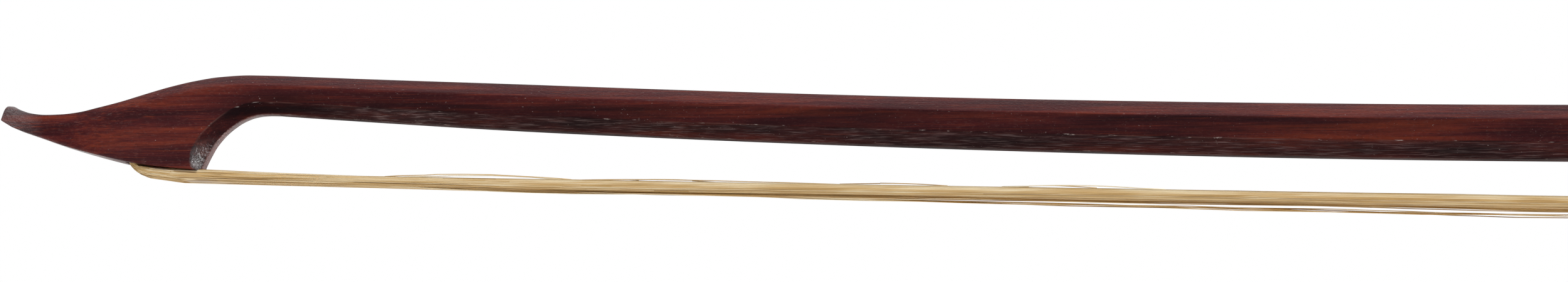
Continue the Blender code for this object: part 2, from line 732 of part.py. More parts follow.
def make_frog(carrier):
    """The open frog: stick channel, eyelet hole, hair mortise and the groove that the hair lies in."""
    wood = material("frog_wood", WOOD, 0.3)
    frog = add_part("frog", outline_mesh("frog", frog_outline(), FROG_WIDTH / 2), wood, carrier)
    soften(frog, 0.0004, 40)
    groove_half = RIBBON_WIDTH / 2 + CLEARANCE
    groove_top = -HAIR_DROP + CLEARANCE
    groove_end = FROG_MORTISE_BACK + CLEARANCE
    mouth = MORTISE_MOUTH_WIDTH / 2
    roof = -HAIR_DROP + MORTISE_ROOF_OVER_HAIR
    cutters = [
        channel_mesh(),
        rod_along_z(
            "eyelet_hole", EYELET_ALONG_FROG, EYELET_SHANK_END - CLEARANCE, 0.0,
            EYELET_SHANK_RADIUS + CLEARANCE,
        ),
        box_mesh(
            "hair_groove", (-0.002, -groove_half, FROG_BASE - 0.002), (groove_end, groove_half, groove_top)
        ),
        box_mesh(
            "frog_mortise", (FROG_MORTISE_BACK - MORTISE_LENGTH, -mouth, groove_top - 0.0005),
            (FROG_MORTISE_BACK, mouth, roof), MORTISE_ROOF_WIDTH / MORTISE_MOUTH_WIDTH,
        ),
    ]
    for mesh in cutters:
        cutter = add_cutter(mesh.name, mesh)
        cutter.parent = carrier
        cut(frog, cutter)
    return frog


def make_eyelet(carrier):
    """The brass eyelet: a ring round the screw, flattened on its sides, on a shank set in the frog."""
    half = EYELET_LENGTH / 2
    look = material("eyelet_brass", BRASS, 0.3, 1.0)
    ring = rod_along_x("eyelet", EYELET_ALONG_FROG - half, EYELET_ALONG_FROG + half, EYELET_RADIUS)
    eyelet = add_part("eyelet", ring, look, carrier)
    shank = rod_along_z(
        "eyelet_shank", EYELET_ALONG_FROG, EYELET_SHANK_END, -EYELET_RADIUS / 2 - SCREW_RADIUS / 2,
        EYELET_SHANK_RADIUS,
    )
    helper = add_cutter("eyelet_shank", shank)
    helper.parent = carrier
    join(eyelet, helper)
    reach = EYELET_RADIUS + 0.001
    for sense in (-1, 1):
        near, far = sorted((sense * EYELET_WIDTH / 2, sense * reach))
        low = (EYELET_ALONG_FROG - reach, near, -reach)
        high = (EYELET_ALONG_FROG + reach, far, reach)
        side = add_cutter("eyelet_flat", box_mesh("eyelet_flat", low, high))
        side.parent = carrier
        cut(eyelet, side)
    hole = rod_along_x(
        "eyelet_bore", EYELET_ALONG_FROG - EYELET_LENGTH, EYELET_ALONG_FROG + EYELET_LENGTH,
        SCREW_RADIUS + CLEARANCE,
    )
    bore = add_cutter("eyelet_bore", hole)
    bore.parent = carrier
    cut(eyelet, bore)


# Screw and button, measured along X from the stick's end


def screw_ring(x, radius, square=False):
    """One section of the screw, round or squared, with the same number of points."""
    ring = []
    for i in range(ROUND_STEPS):
        angle = 2 * math.pi * (i + 0.5) / ROUND_STEPS
        reach = radius
        if square:
            reach = radius / max(abs(math.cos(angle)), abs(math.sin(angle)))
        ring.append(Vector((x, reach * math.cos(angle), reach * math.sin(angle))))
    return ring


def threaded_ring(x):
    """A section across the screw's thread, whose crest winds forward by one pitch a turn."""
    ring = []
    for i in range(ROUND_STEPS):
        turn = (i + 0.5) / ROUND_STEPS
        wave = abs(((x / THREAD_PITCH - turn) % 1.0) - 0.5) * 2
        radius = SCREW_RADIUS - THREAD_DEPTH * wave
        angle = 2 * math.pi * turn
        ring.append(Vector((x, radius * math.cos(angle), radius * math.sin(angle))))
    return ring


def make_screw(axle):
    """The steel screw: nipple, thread, plain shaft and the square tang that the button grips."""
    slot_start = EYELET_STATION - EYELET_LENGTH / 2 - EYELET_STOP_GAP - STICK_LENGTH
    front = slot_start + CLEARANCE
    root = SCREW_RADIUS - THREAD_DEPTH
    rings = [
        screw_ring(front - NIPPLE_LENGTH, NIPPLE_RADIUS * 0.6),
        screw_ring(front - NIPPLE_LENGTH * 0.85, NIPPLE_RADIUS),
        screw_ring(front, NIPPLE_RADIUS),
        screw_ring(front, root),
    ]
    steps = 3 * round(THREAD_LENGTH / THREAD_PITCH)
    for i in range(1, steps):
        rings.append(threaded_ring(front + THREAD_LENGTH * i / steps))
    tang = CLEARANCE * 2
    rings += [
        screw_ring(front + THREAD_LENGTH, root),
        screw_ring(front + THREAD_LENGTH + 0.0005, SCREW_RADIUS - 0.0001),
        screw_ring(tang, SCREW_RADIUS - 0.0001),
        screw_ring(tang + 0.0003, TANG_SIDE / 2, True),
        screw_ring(tang + TANG_LENGTH, TANG_SIDE / 2, True),
        screw_ring(tang + TANG_LENGTH + 0.0006, TANG_SIDE / 3, True),
    ]
    look = material("screw_steel", STEEL, 0.35, 1.0)
    return add_part("screw", skin("screw", rings), look, axle)


def make_button(axle):
    """The turned button with a bone collar against the stick and a bone pip in its end."""
    wood = material("button_wood", WOOD, 0.28)
    start = CLEARANCE
    collar_end = start + COLLAR_LENGTH
    body_start = collar_end + CLEARANCE
    end = start + BUTTON_LENGTH
    bore = SCREW_RADIUS + CLEARANCE
    collar = [
        (BUTTON_RADIUS * 0.86, collar_end), (BUTTON_RADIUS * 0.95, collar_end - 0.0004),
        (BUTTON_RADIUS * 0.95, start + 0.0004), (BUTTON_RADIUS * 0.88, start), (bore, start),
        (bore, collar_end),
    ]
    turned("button_collar", collar, material("collar_bone", BONE, 0.4), axle, closed=True)
    profile = [
        (0.0, end), (BUTTON_RADIUS * 0.55, end), (BUTTON_RADIUS * 0.72, end - 0.0003),
        (BUTTON_RADIUS * 0.86, end - 0.0010), (BUTTON_RADIUS * 0.80, end - 0.0018),
        (BUTTON_RADIUS * 0.93, end - 0.0026), (BUTTON_RADIUS, end - 0.0042),
        (BUTTON_RADIUS * 0.985, end - 0.0060), (BUTTON_RADIUS * 0.90, end - 0.0076),
        (BUTTON_RADIUS * 0.80, end - 0.0086), (BUTTON_RADIUS * 0.86, end - 0.0093),
        (BUTTON_RADIUS * 0.86, body_start), (0.0, body_start),
    ]
    button = turned("button", profile, wood, axle)
    tang_end = 2 * CLEARANCE + TANG_LENGTH + 0.0006
    side = TANG_SIDE / 2 + CLEARANCE
    socket = box_mesh("tang_socket", (-0.002, -side, -side), (tang_end + CLEARANCE, side, side))
    well = rod_along_x("pip_hole", end - PIP_HOLE_DEPTH, end + 0.002, PIP_RADIUS + CLEARANCE)
    for mesh in (socket, well):
        cutter = add_cutter(mesh.name, mesh)
        cutter.parent = axle
        cut(button, cutter)
    seat = end - PIP_HOLE_DEPTH + CLEARANCE
    pip = [
        (0.0, seat + PIP_LENGTH), (PIP_RADIUS * 0.6, seat + PIP_LENGTH - 0.0001),
        (PIP_RADIUS, seat + PIP_LENGTH - 0.0004), (PIP_RADIUS, seat), (0.0, seat),
    ]
    turned("button_pip", pip, material("pip_bone", BONE, 0.4), axle)


def main():
    frog_carrier = bpy.data.objects.new("frog_slide_axis", None)
    frog_carrier.location = row_point(TONGUE_STATION, 0, 0)
    CUTTERS.objects.link(frog_carrier)
    screw_axle = bpy.data.objects.new("screw_axis", None)
    screw_axle.location = row_point(STICK_LENGTH, 0, 0)
    CUTTERS.objects.link(screw_axle)

    make_stick()
    make_ribbon()
    make_loose_strands()
    make_knot("head", head_place, 1, None)
    make_plug("head_plug", head_place, HEAD_PLUG_FACE, None)
    make_frog(frog_carrier)
    make_knot("frog", frog_place, -1, frog_carrier)
    make_plug("frog_plug", frog_place, FROG_PLUG_FACE, frog_carrier)
    make_eyelet(frog_carrier)
    make_screw(screw_axle)
    make_button(screw_axle)


main()
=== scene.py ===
"""Dresses a baroque violin bow for a studio picture.

Metres, +Z up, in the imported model's own frame: the beak points to -X and the screw's button to +X, the
hair lies under the stick, and Y = 0 is the bow's middle plane. A station is a distance from the beak's
tip along X. Head points are measured along the hair from that tip, and over the hair's top line.
"""

import logging
import math
import random
from dataclasses import dataclass, field
from enum import Enum
from typing import Any, Iterable, Sequence

import bmesh
import bpy
from mathutils import Matrix, Vector
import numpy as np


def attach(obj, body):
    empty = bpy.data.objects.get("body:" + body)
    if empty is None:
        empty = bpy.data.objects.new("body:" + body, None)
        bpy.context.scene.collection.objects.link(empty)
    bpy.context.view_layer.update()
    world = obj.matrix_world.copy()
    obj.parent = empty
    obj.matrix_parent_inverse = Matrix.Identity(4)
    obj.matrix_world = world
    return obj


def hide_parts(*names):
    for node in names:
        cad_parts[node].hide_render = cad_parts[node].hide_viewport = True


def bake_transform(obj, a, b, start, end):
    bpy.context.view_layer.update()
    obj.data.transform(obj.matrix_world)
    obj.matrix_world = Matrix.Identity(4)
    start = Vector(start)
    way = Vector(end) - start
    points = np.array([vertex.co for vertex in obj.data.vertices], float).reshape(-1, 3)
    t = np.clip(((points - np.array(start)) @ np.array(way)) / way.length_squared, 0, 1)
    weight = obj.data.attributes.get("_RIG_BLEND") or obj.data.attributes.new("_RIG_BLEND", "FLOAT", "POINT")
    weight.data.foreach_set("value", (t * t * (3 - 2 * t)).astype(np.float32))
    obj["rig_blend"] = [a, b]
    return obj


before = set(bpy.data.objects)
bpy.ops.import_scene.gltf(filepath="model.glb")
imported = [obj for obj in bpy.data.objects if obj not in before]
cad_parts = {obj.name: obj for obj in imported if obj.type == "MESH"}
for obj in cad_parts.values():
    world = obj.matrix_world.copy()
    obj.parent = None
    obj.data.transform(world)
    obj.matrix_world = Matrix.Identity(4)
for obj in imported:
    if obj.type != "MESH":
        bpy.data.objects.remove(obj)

LOG = logging.getLogger("baroque_bow")
Keys = Sequence[tuple[float, float]]
Colour = tuple[float, float, float, float]
Piece = bpy.types.Object
Shape = bmesh.types.BMesh
Row = list[bmesh.types.BMVert]
Tree = bpy.types.NodeTree
Node = bpy.types.Node
Socket = bpy.types.NodeSocket

WELD = 1e-6  # points nearer than this are one
PAST = 0.002  # how far a cutter reaches past what it cuts
TURNED_SHARP, STICK_SHARP, FROG_SHARP, HEART_SHARP, ALL_SMOOTH = 30.0, 50.0, 32.0, 60.0, 180.0  # degrees


class Body(Enum):
    """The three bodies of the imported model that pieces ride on."""

    STICK = "stick_and_hair"
    FROG = "frog_set"
    SCREW = "screw_set"


# Curves and plain geometry


def clamped(value: float, most: float = 1.0) -> float:
    """The value, held between 0 and the most that it may be."""
    return min(max(value, 0.0), most)


def through(keys: Keys, at: float) -> float:
    """Reads a smooth curve through (place, value) keys, without overshoot.

    Args:
        keys: the curve's keys, in order of place.
        at: the place to read.

    Returns:
        The curve's value there.
    """
    if at <= keys[0][0]:
        return keys[0][1]
    if at >= keys[-1][0]:
        return keys[-1][1]
    slopes = [(b[1] - a[1]) / (b[0] - a[0]) for a, b in zip(keys, keys[1:])]
    index = max(i for i in range(len(keys) - 1) if keys[i][0] <= at)

    def tangent(i: int) -> float:
        """The slope at a key, level at a peak. An end key has the slope beside it."""
        before, after = slopes[max(i - 1, 0)], slopes[min(i, len(slopes) - 1)]
        return 0.0 if before * after <= 0 else 2 * before * after / (before + after)

    (x0, y0), (x1, y1) = keys[index], keys[index + 1]
    span = x1 - x0
    t = (at - x0) / span
    rise = y0 * (1 + 2 * t) * (1 - t) ** 2 + y1 * t * t * (3 - 2 * t)
    return rise + span * (tangent(index) * t * (1 - t) ** 2 - tangent(index + 1) * t * t * (1 - t))


def along_points(points: Keys, share: float) -> tuple[float, float]:
    """Reads a smooth curve that gives each stretch between its points an equal share.

    Args:
        points: the curve's points.
        share: the place on it, 0 to 1.

    Returns:
        The point there.
    """
    place = clamped(share) * (len(points) - 1)
    index = min(int(place), len(points) - 2)
    t = place - index
    ends = [points[min(max(index + i, 0), len(points) - 1)] for i in (-1, 0, 1, 2)]

    def blended(a: float, b: float, c: float, d: float) -> float:
        """One coordinate between b and c, on a curve that leaves a and reaches for d."""
        return b + 0.5 * t * (c - a + t * (2 * a - 5 * b + 4 * c - d + t * (3 * (b - c) + d - a)))

    return blended(*(p[0] for p in ends)), blended(*(p[1] for p in ends))


def arc(centre: tuple[float, float], radius: float, start: float, end: float, steps: int) -> Keys:
    """Points of a round stretch of an outline, from a start to an end angle in degrees, both included."""
    angles = [math.radians(start + (end - start) * i / steps) for i in range(steps + 1)]
    return [(centre[0] + radius * math.cos(a), centre[1] + radius * math.sin(a)) for a in angles]


def directions(path: Sequence[Vector]) -> list[Vector]:
    """The way that a path runs at each of its points, read between the points beside it."""
    return [after - before for before, after in zip([path[0], *path[:-1]], [*path[1:], path[-1]])]


@dataclass(frozen=True)
class BowFrame:
    """The lengths that place every part of the bow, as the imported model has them."""

    stick_length: float = 0.690
    button_length: float = 0.013
    clearance: float = 0.0003
    axis_height: float = 0.0215
    hair_drop: float = 0.0202
    handle_width: float = 0.0088
    tongue_station: float = 0.638
    frog_length: float = 0.040
    neck_along: float = 0.0426
    neck_over: float = 0.0121
    camber_radius: float = 3.846
    camber_ease: float = 0.130
    camber_start: float = 0.364

    @property
    def overall_length(self) -> float:
        """From the beak's tip to the button's end."""
        return self.stick_length + self.clearance + self.button_length

    @property
    def hair_tilt(self) -> float:
        """The angle between the hair and the handle."""
        rise = self.camber(self.neck_along) - self.neck_over + self.hair_drop
        return math.atan(rise / (self.tongue_station - self.neck_along))

    def camber(self, station: float) -> float:
        """Height of the stick's centre line over the handle's axis.

        Args:
            station: the place along the bow.

        Returns:
            The height: nothing on the handle, then a bend that eases in to a steady arc.
        """
        ahead = self.camber_start - station
        if ahead <= 0:
            return 0.0
        eased = min(ahead, self.camber_ease)
        beyond = ahead - eased
        slope = eased * eased / (2 * self.camber_ease * self.camber_radius)
        rise = eased**3 / (6 * self.camber_ease * self.camber_radius)
        return rise + slope * beyond + beyond * beyond / (2 * self.camber_radius)

    def row_point(self, station: float, y: float, over_axis: float) -> Vector:
        """A station and a height over the handle's axis as a point of the model's frame."""
        return Vector((station - self.overall_length / 2, y, self.axis_height + over_axis))

    def head_point(self, along: float, y: float, over: float) -> Vector:
        """A head point as a point of the model's frame.

        Args:
            along: distance along the hair from the beak's tip.
            y: distance across the bow.
            over: height over the hair's top line.

        Returns:
            The point.
        """
        forth, up = along - self.neck_along, over - self.neck_over
        cos, sin = math.cos(self.hair_tilt), math.sin(self.hair_tilt)
        station = self.neck_along + forth * cos + up * sin
        return self.row_point(station, y, self.camber(self.neck_along) - forth * sin + up * cos)


BOW = BowFrame()


# Meshes


def linked(name: str, data: bpy.types.ID) -> Piece:
    """Makes an object and links it to the scene.

    Args:
        name: its name.
        data: its mesh, camera or light.

    Returns:
        The object.
    """
    made = bpy.data.objects.new(name, data)
    bpy.context.scene.collection.objects.link(made)
    return made


def mesh_of(name: str, shape: Shape) -> bpy.types.Mesh:
    """Makes a mesh of a bmesh, which is freed.

    Args:
        name: the mesh's name.
        shape: the bmesh.

    Returns:
        The mesh.
    """
    mesh = bpy.data.meshes.new(name)
    shape.to_mesh(mesh)
    shape.free()
    return mesh


def finish_mesh(name: str, shape: Shape, sharp_degrees: float = TURNED_SHARP) -> Piece:
    """Makes an object of a finished bmesh, smooth but for its sharp edges.

    Args:
        name: the piece's name.
        shape: the bmesh, which is freed.
        sharp_degrees: edges that turn more than this stay sharp.

    Returns:
        The new object, linked to the scene, with its origin at the frame's.
    """
    shape.normal_update()
    bmesh.ops.recalc_face_normals(shape, faces=shape.faces)
    mesh = mesh_of(name, shape)
    mesh.shade_smooth()
    mesh.set_sharp_from_angle(angle=math.radians(sharp_degrees))
    return linked(name, mesh)


def add_loop(shape: Shape, points: Iterable[Vector], closed: bool = True) -> Row:
    """Adds a row of vertices joined by edges.

    Args:
        shape: the bmesh to add to.
        points: where the vertices lie.
        closed: whether the last one joins the first.

    Returns:
        The vertices.
    """
    row = [shape.verts.new(point) for point in points]
    for first, second in zip(row, row[1:]):
        shape.edges.new((first, second))
    if closed:
        shape.edges.new((row[-1], row[0]))
    return row


def edges_of(shape: Shape, row: Row, closed: bool = True) -> list[bmesh.types.BMEdge]:
    """The edges that join a row of vertices, and where it is closed its last one to its first."""
    pairs = list(zip(row, row[1:])) + ([(row[-1], row[0])] if closed else [])
    return [shape.edges.get(pair) for pair in pairs]


def sleeve(shape: Shape, rows: Sequence[Sequence[Vector]]) -> list[Row]:
    """Skins a chain of closed rows of points with a straight sleeve that is laid on them.

    Args:
        shape: an empty bmesh.
        rows: the rows, in order, each with as many points.

    Returns:
        The vertices of each row, in the order of its points.
    """
    count, last = len(rows[0]), len(rows) - 1
    bmesh.ops.create_cone(shape, cap_ends=False, segments=count, radius1=1.0, radius2=1.0, depth=1.0)
    upright = [e for e in shape.edges if e.verts[0].co.z * e.verts[1].co.z < 0]
    if last > 1:
        bmesh.ops.subdivide_edges(shape, edges=upright, cuts=last - 1, use_grid_fill=True)
    laid: list[list[Any]] = [[None] * count for _ in rows]
    for vertex in shape.verts:
        row = round((vertex.co.z + 0.5) * last)
        column = round(math.atan2(vertex.co.x, vertex.co.y) / (2 * math.pi) * count) % count
        vertex.co = rows[row][column]
        laid[row][column] = vertex
    return laid


def lathe(name: str, profile: Keys, place: Vector, steps: int = 96, closed: bool = False) -> Piece:
    """Turns a profile round an axis along X.

    Args:
        name: the piece's name.
        profile: (distance along X, radius) points.
        place: where the axis starts.
        steps: faces round the piece.
        closed: whether the profile is a ring, as that of a hollow piece is.

    Returns:
        The turned piece.
    """
    shape = bmesh.new()
    add_loop(shape, [Vector((x, 0.0, radius)) for x, radius in profile], closed)
    bmesh.ops.spin(
        shape, geom=shape.verts[:] + shape.edges[:], cent=(0, 0, 0), axis=(1, 0, 0), angle=2 * math.pi,
        steps=steps, use_merge=True, use_duplicate=False,
    )
    bmesh.ops.remove_doubles(shape, verts=shape.verts, dist=WELD)
    bmesh.ops.translate(shape, vec=place, verts=shape.verts)
    return finish_mesh(name, shape, TURNED_SHARP)


def block(low: Vector, high: Vector, top_share: float = 1.0) -> Piece:
    """A cutter's box between two corners, narrowed across Y at its top by a share.

    Args:
        low: its lowest corner.
        high: its highest corner.
        top_share: the top's width as a share of the bottom's.

    Returns:
        The box.
    """
    shape = bmesh.new()
    bmesh.ops.create_cube(shape, size=1.0)
    bmesh.ops.scale(shape, vec=high - low, verts=shape.verts)
    bmesh.ops.scale(shape, vec=(1, top_share, 1), verts=[v for v in shape.verts if v.co.z > 0])
    bmesh.ops.translate(shape, vec=(low + high) / 2, verts=shape.verts)
    return finish_mesh("cutter", shape)


def rod(start: Vector, end: Vector, radius: float) -> Piece:
    """A cutter's cylinder between two points.

    Args:
        start: the middle of one end.
        end: the middle of the other.
        radius: its radius.

    Returns:
        The cylinder.
    """
    shape = bmesh.new()
    axis = end - start
    bmesh.ops.create_cone(
        shape, cap_ends=True, segments=48, radius1=radius, radius2=radius, depth=axis.length
    )
    turn = Vector((0, 0, 1)).rotation_difference(axis).to_matrix()
    bmesh.ops.rotate(shape, cent=(0, 0, 0), matrix=turn, verts=shape.verts)
    bmesh.ops.translate(shape, vec=(start + end) / 2, verts=shape.verts)
    return finish_mesh("cutter", shape)


def cut(piece: Piece, cutters: Iterable[Piece], sharp_degrees: float) -> None:
    """Takes the cutters out of a piece and removes them.

    Args:
        piece: the piece, whose mesh is replaced.
        cutters: the shapes to take out.
        sharp_degrees: edges that turn more than this stay sharp.
    """
    for cutter in cutters:
        modifier = piece.modifiers.new("cut", "BOOLEAN")
        modifier.object = cutter
        modifier.operation = "DIFFERENCE"
        modifier.solver = "EXACT"
        graph = bpy.context.evaluated_depsgraph_get()
        carved = bpy.data.meshes.new_from_object(piece.evaluated_get(graph))
        piece.modifiers.clear()
        piece.data = carved
        bpy.data.objects.remove(cutter, do_unlink=True)
    piece.data.shade_smooth()
    piece.data.set_sharp_from_angle(angle=math.radians(sharp_degrees))


# Finishes


def linear(hex_colour: str) -> Colour:
    """Turns an sRGB hex colour into linear light.

    Args:
        hex_colour: the colour as #rrggbb.

    Returns:
        The linear colour with full alpha.
    """
    def channel(text: str) -> float:
        """One channel, from its two hex digits."""
        value = int(text, 16) / 255
        return value / 12.92 if value <= 0.04045 else ((value + 0.055) / 1.055) ** 2.4

    return channel(hex_colour[1:3]), channel(hex_colour[3:5]), channel(hex_colour[5:7]), 1.0


def feed(
    tree: Tree, node: Node, values: dict[str | int, Any] | None = None,
    links: dict[str | int, Socket] | None = None,
) -> Node:
    """Gives a node its inputs.

    Args:
        tree: the node tree.
        node: the node.
        values: values for its inputs, by name or number.
        links: outputs that feed its inputs, by name or number.

    Returns:
        The same node.
    """
    for name, value in (values or {}).items():
        node.inputs[name].default_value = value
    for name, source in (links or {}).items():
        tree.links.new(source, node.inputs[name])
    return node


def add_node(
    tree: Tree, kind: str, settings: dict[str, Any] | None = None,
    values: dict[str | int, Any] | None = None, links: dict[str | int, Socket] | None = None,
) -> Node:
    """Adds a node with its settings and links.

    Args:
        tree: the node tree.
        kind: the node's type name.
        settings: the node's own properties.
        values: values for its inputs, by name or number.
        links: outputs that feed its inputs, by name or number.

    Returns:
        The node.
    """
    node = tree.nodes.new(kind)
    for name, value in (settings or {}).items():
        setattr(node, name, value)
    return feed(tree, node, values, links)


def ramp_stops(node: Node, *stops: tuple[float, str]) -> Socket:
    """Sets the stops of a colour ramp.

    Args:
        node: the ramp.
        stops: (place, sRGB colour) pairs, in order.

    Returns:
        The ramp's colour.
    """
    elements = node.color_ramp.elements
    while len(elements) < len(stops):
        elements.new(0.5)
    for element, (place, colour) in zip(elements, stops):
        element.position, element.color = place, linear(colour)
    return node.outputs["Color"]


class Finish:
    """What every finish has: a name, and one material that is made once."""

    name: str = "finish"
    noise_roughness = 0.6
    made: dict[str, bpy.types.Material] = {}

    def material(self) -> bpy.types.Material:
        """Makes the finish's material on first use.

        Returns:
            The material.
        """
        if self.name not in Finish.made:
            made = bpy.data.materials.new(self.name)
            made.use_nodes = True
            shader = made.node_tree.nodes["Principled BSDF"]
            self.dress(made.node_tree, shader)
            Finish.made[self.name] = made
        return Finish.made[self.name]

    def dress(self, tree: Tree, shader: Node) -> None:
        """Adds the finish's own nodes."""
        raise NotImplementedError

    def grain(
        self, tree: Tree, size_mm: Sequence[float], span: tuple[float, float] = (0.3, 0.7),
        give: tuple[float, float] = (0.0, 1.0), detail: float = 3.0, shift: Sequence[float] = (0, 0, 0),
    ) -> Socket:
        """A grain, mottle or scatter of marks with a real size.

        Args:
            tree: the material's tree.
            size_mm: the marks' length, width and height in millimetres.
            span: the stretch of the noise that the result is drawn from.
            give: what the stretch's ends become.
            detail: how many finer layers the noise has.
            shift: moves the pattern, in marks.

        Returns:
            The value, held within the two that it was given.
        """
        place = add_node(tree, "ShaderNodeTexCoord").outputs["Object"]
        scale = tuple(1000 / size for size in size_mm)
        mapped = add_node(
            tree, "ShaderNodeMapping", values={"Location": shift, "Scale": scale}, links={"Vector": place}
        )
        noise = add_node(
            tree, "ShaderNodeTexNoise",
            values={"Scale": 1.0, "Detail": detail, "Roughness": self.noise_roughness},
            links={"Vector": mapped.outputs["Vector"]},
        )
        stretched = add_node(
            tree, "ShaderNodeMapRange", {"clamp": True, "interpolation_type": "SMOOTHSTEP"},
            {"From Min": span[0], "From Max": span[1], "To Min": give[0], "To Max": give[1]},
            {"Value": noise.outputs["Fac"]},
        )
        return stretched.outputs["Result"]

    def laid_over(self, tree: Tree, ground: Socket, coats: Sequence[tuple[Socket, str]]) -> Socket:
        """Lays colours over a ground, one after the other.

        Args:
            tree: the material's tree.
            ground: the ground's colour.
            coats: (how much of it, its sRGB colour) for each.

        Returns:
            The colour that shows.
        """
        for share, colour in coats:
            mix = add_node(
                tree, "ShaderNodeMix", {"data_type": "RGBA"}, {7: linear(colour)}, {0: share, 6: ground}
            )
            ground = mix.outputs[2]
        return ground


@dataclass(frozen=True)
class VarnishedBowWood(Finish):
    """Snakewood-coloured bow timber, scraped with the grain and given a thin spirit varnish by rubbing.

    It gives the eye long soft streaks in several reds and purples with short dark pores, a soft varnish
    gloss, sides darkened towards the lower facets with painted shade under the stick, pale painted sheen
    streaks on the lower facets and in the throat, and worn lower edges with pale scuffs and knocks.
    """

    name: str = "bow_wood_scraped_and_varnished"
    dark: str = "#2a0e12"
    body: str = "#421719"
    red: str = "#58221d"
    flame: str = "#722f1d"
    darkening: str = "#13080b"
    # The darkening colour goes down the sides and, as painted shade, under the stick; sheen is a painted
    # reflection
    scuff: str = "#b5a8a4"
    worn: str = "#6b4a45"
    sheen: str = "#a08a8a"
    gloss: float = 0.30
    wear: float = 1.0
    specular: float = 0.04
    relief: float = 0.00004
    relief_strength: float = 0.4
    scuff_dullness: float = 0.3
    darkening_dullness: float = 0.32
    coat_roughness: float = 0.24
    crazing: float = 0.00010
    crazing_strength: float = 0.65

    def dress(self, tree: Tree, shader: Node) -> None:
        """Adds streaks, pores, grime, wear and varnish.

        Args:
            tree: the material's tree.
            shader: its Principled shader.
        """
        # Streaks about 40 mm long and 2 mm high, with finer ones in them
        streaks = self.grain(tree, (40, 2.4, 1.9), (0.12, 0.88), detail=7)
        figure = add_node(tree, "ShaderNodeValToRGB", links={"Fac": streaks})
        ground = ramp_stops(
            figure, (0.20, self.dark), (0.46, self.body), (0.64, self.red), (0.90, self.flame)
        )
        # Edge wear, the darkening that paints shade under the stick, and the pale streaks of painted sheen
        edge, darkening_share, sheen_share = (
            add_node(tree, "ShaderNodeAttribute", {"attribute_name": name}).outputs["Fac"]
            for name in ("edge", "darkening", "sheen_streaks")
        )
        darkened, worn, sheen_streaks, scuffed, knocked = (
            add_node(
                tree, "ShaderNodeMath", {"operation": "MULTIPLY"}, links={0: first, 1: second}
            ).outputs["Value"]
            for first, second in (
                # The darkening, painted shade under the stick, broken up by a mottle
                (darkening_share, self.grain(tree, (18, 3, 2), give=(0.45, 0.88))),
                (edge, self.grain(tree, (9, 4, 4), (0.45, 0.65), (0.0, 0.45 * self.wear))),
                # Pale streaks of painted sheen, a reflection laid on the lower facets and in the throat
                (sheen_share, self.grain(tree, (4.5, 0.22, 0.18), (0.48, 0.74), (0.04, 0.62 * self.wear))),
                # Scuffs a millimetre or two long, on the edges
                (edge, self.grain(tree, (2.4, 0.5, 0.4), (0.60, 0.68), (0.0, 0.8 * self.wear), 4)),
                # Knocks of a quarter of a millimetre, in clusters
                (self.grain(tree, (9, 6, 3), (0.42, 0.62), (0.25, 1.0)),
                 self.grain(tree, (0.42, 0.28, 0.26), (0.68, 0.80), (0.0, 0.50 * self.wear), 2)),
            )
        )
        colour = self.laid_over(
            tree, ground,
            [  # Fine streaks, dark and red, then dark and pale flecks, then pores
             (self.grain(tree, (14, 0.32, 0.26), (0.46, 0.66), (0.0, 0.50), 4, (1, 5, 2)), self.dark),
             (self.grain(tree, (11, 0.26, 0.22), (0.52, 0.70), (0.0, 0.50), 4, (7, 2, 6)), self.flame),
             (self.grain(tree, (0.8, 0.34, 0.30), (0.48, 0.68), (0.0, 0.25), 3, (4, 4, 9)), self.dark),
             (self.grain(tree, (0.6, 0.30, 0.26), (0.52, 0.70), (0.0, 0.18), 3, (2, 9, 1)), self.worn),
             (self.grain(tree, (1.8, 0.20, 0.16), (0.60, 0.72), (0.0, 0.45), 2, (8, 2, 4)), self.dark),
             # Then the darkening with its painted shade, the wear, the painted sheen streaks, the scuffs and
             # knocks
             (darkened, self.darkening), (worn, self.worn), (sheen_streaks, self.sheen), (scuffed, self.scuff),
             (knocked, self.scuff)],
        )
        dull = self.grain(tree, (6, 0.8, 0.7), give=(self.gloss - 0.05, self.gloss + 0.10))
        # Scuffs are dull, and so are the darkened places, which keeps the underside from shining
        for share, mark in ((self.scuff_dullness, scuffed), (self.darkening_dullness, darkening_share)):
            dull = add_node(
                tree, "ShaderNodeMath", {"operation": "MULTIPLY_ADD"}, {1: share}, {0: mark, 2: dull}
            ).outputs["Value"]
        # Crackle of a third of a millimetre, and the scraper's marks along the grain
        height = add_node(
            tree, "ShaderNodeMath", {"operation": "ADD"},
            links={
                0: self.grain(tree, (0.42, 0.30, 0.30)),
                1: self.grain(tree, (7, 0.35, 0.30), give=(0.0, 0.6)),
            },
        )
        bump = add_node(
            tree, "ShaderNodeBump", values={"Strength": self.relief_strength, "Distance": self.relief},
            links={"Height": height.outputs["Value"]},
        )
        # Thick varnish in the throat, crazed at half a millimetre
        thick = add_node(tree, "ShaderNodeAttribute", {"attribute_name": "varnish"}).outputs["Fac"]
        crazed = add_node(
            tree, "ShaderNodeBump", values={"Strength": self.crazing_strength, "Distance": self.crazing},
            links={"Height": self.grain(tree, (0.6, 0.6, 0.5), (0.3, 0.7), detail=3, shift=(6, 6, 6))},
        )
        feed(
            tree, shader, {"Specular IOR Level": self.specular, "Coat Roughness": self.coat_roughness},
            {
                "Base Color": colour, "Roughness": dull, "Normal": bump.outputs["Normal"],
                "Coat Weight": thick, "Coat Normal": crazed.outputs["Normal"],
            },
        )


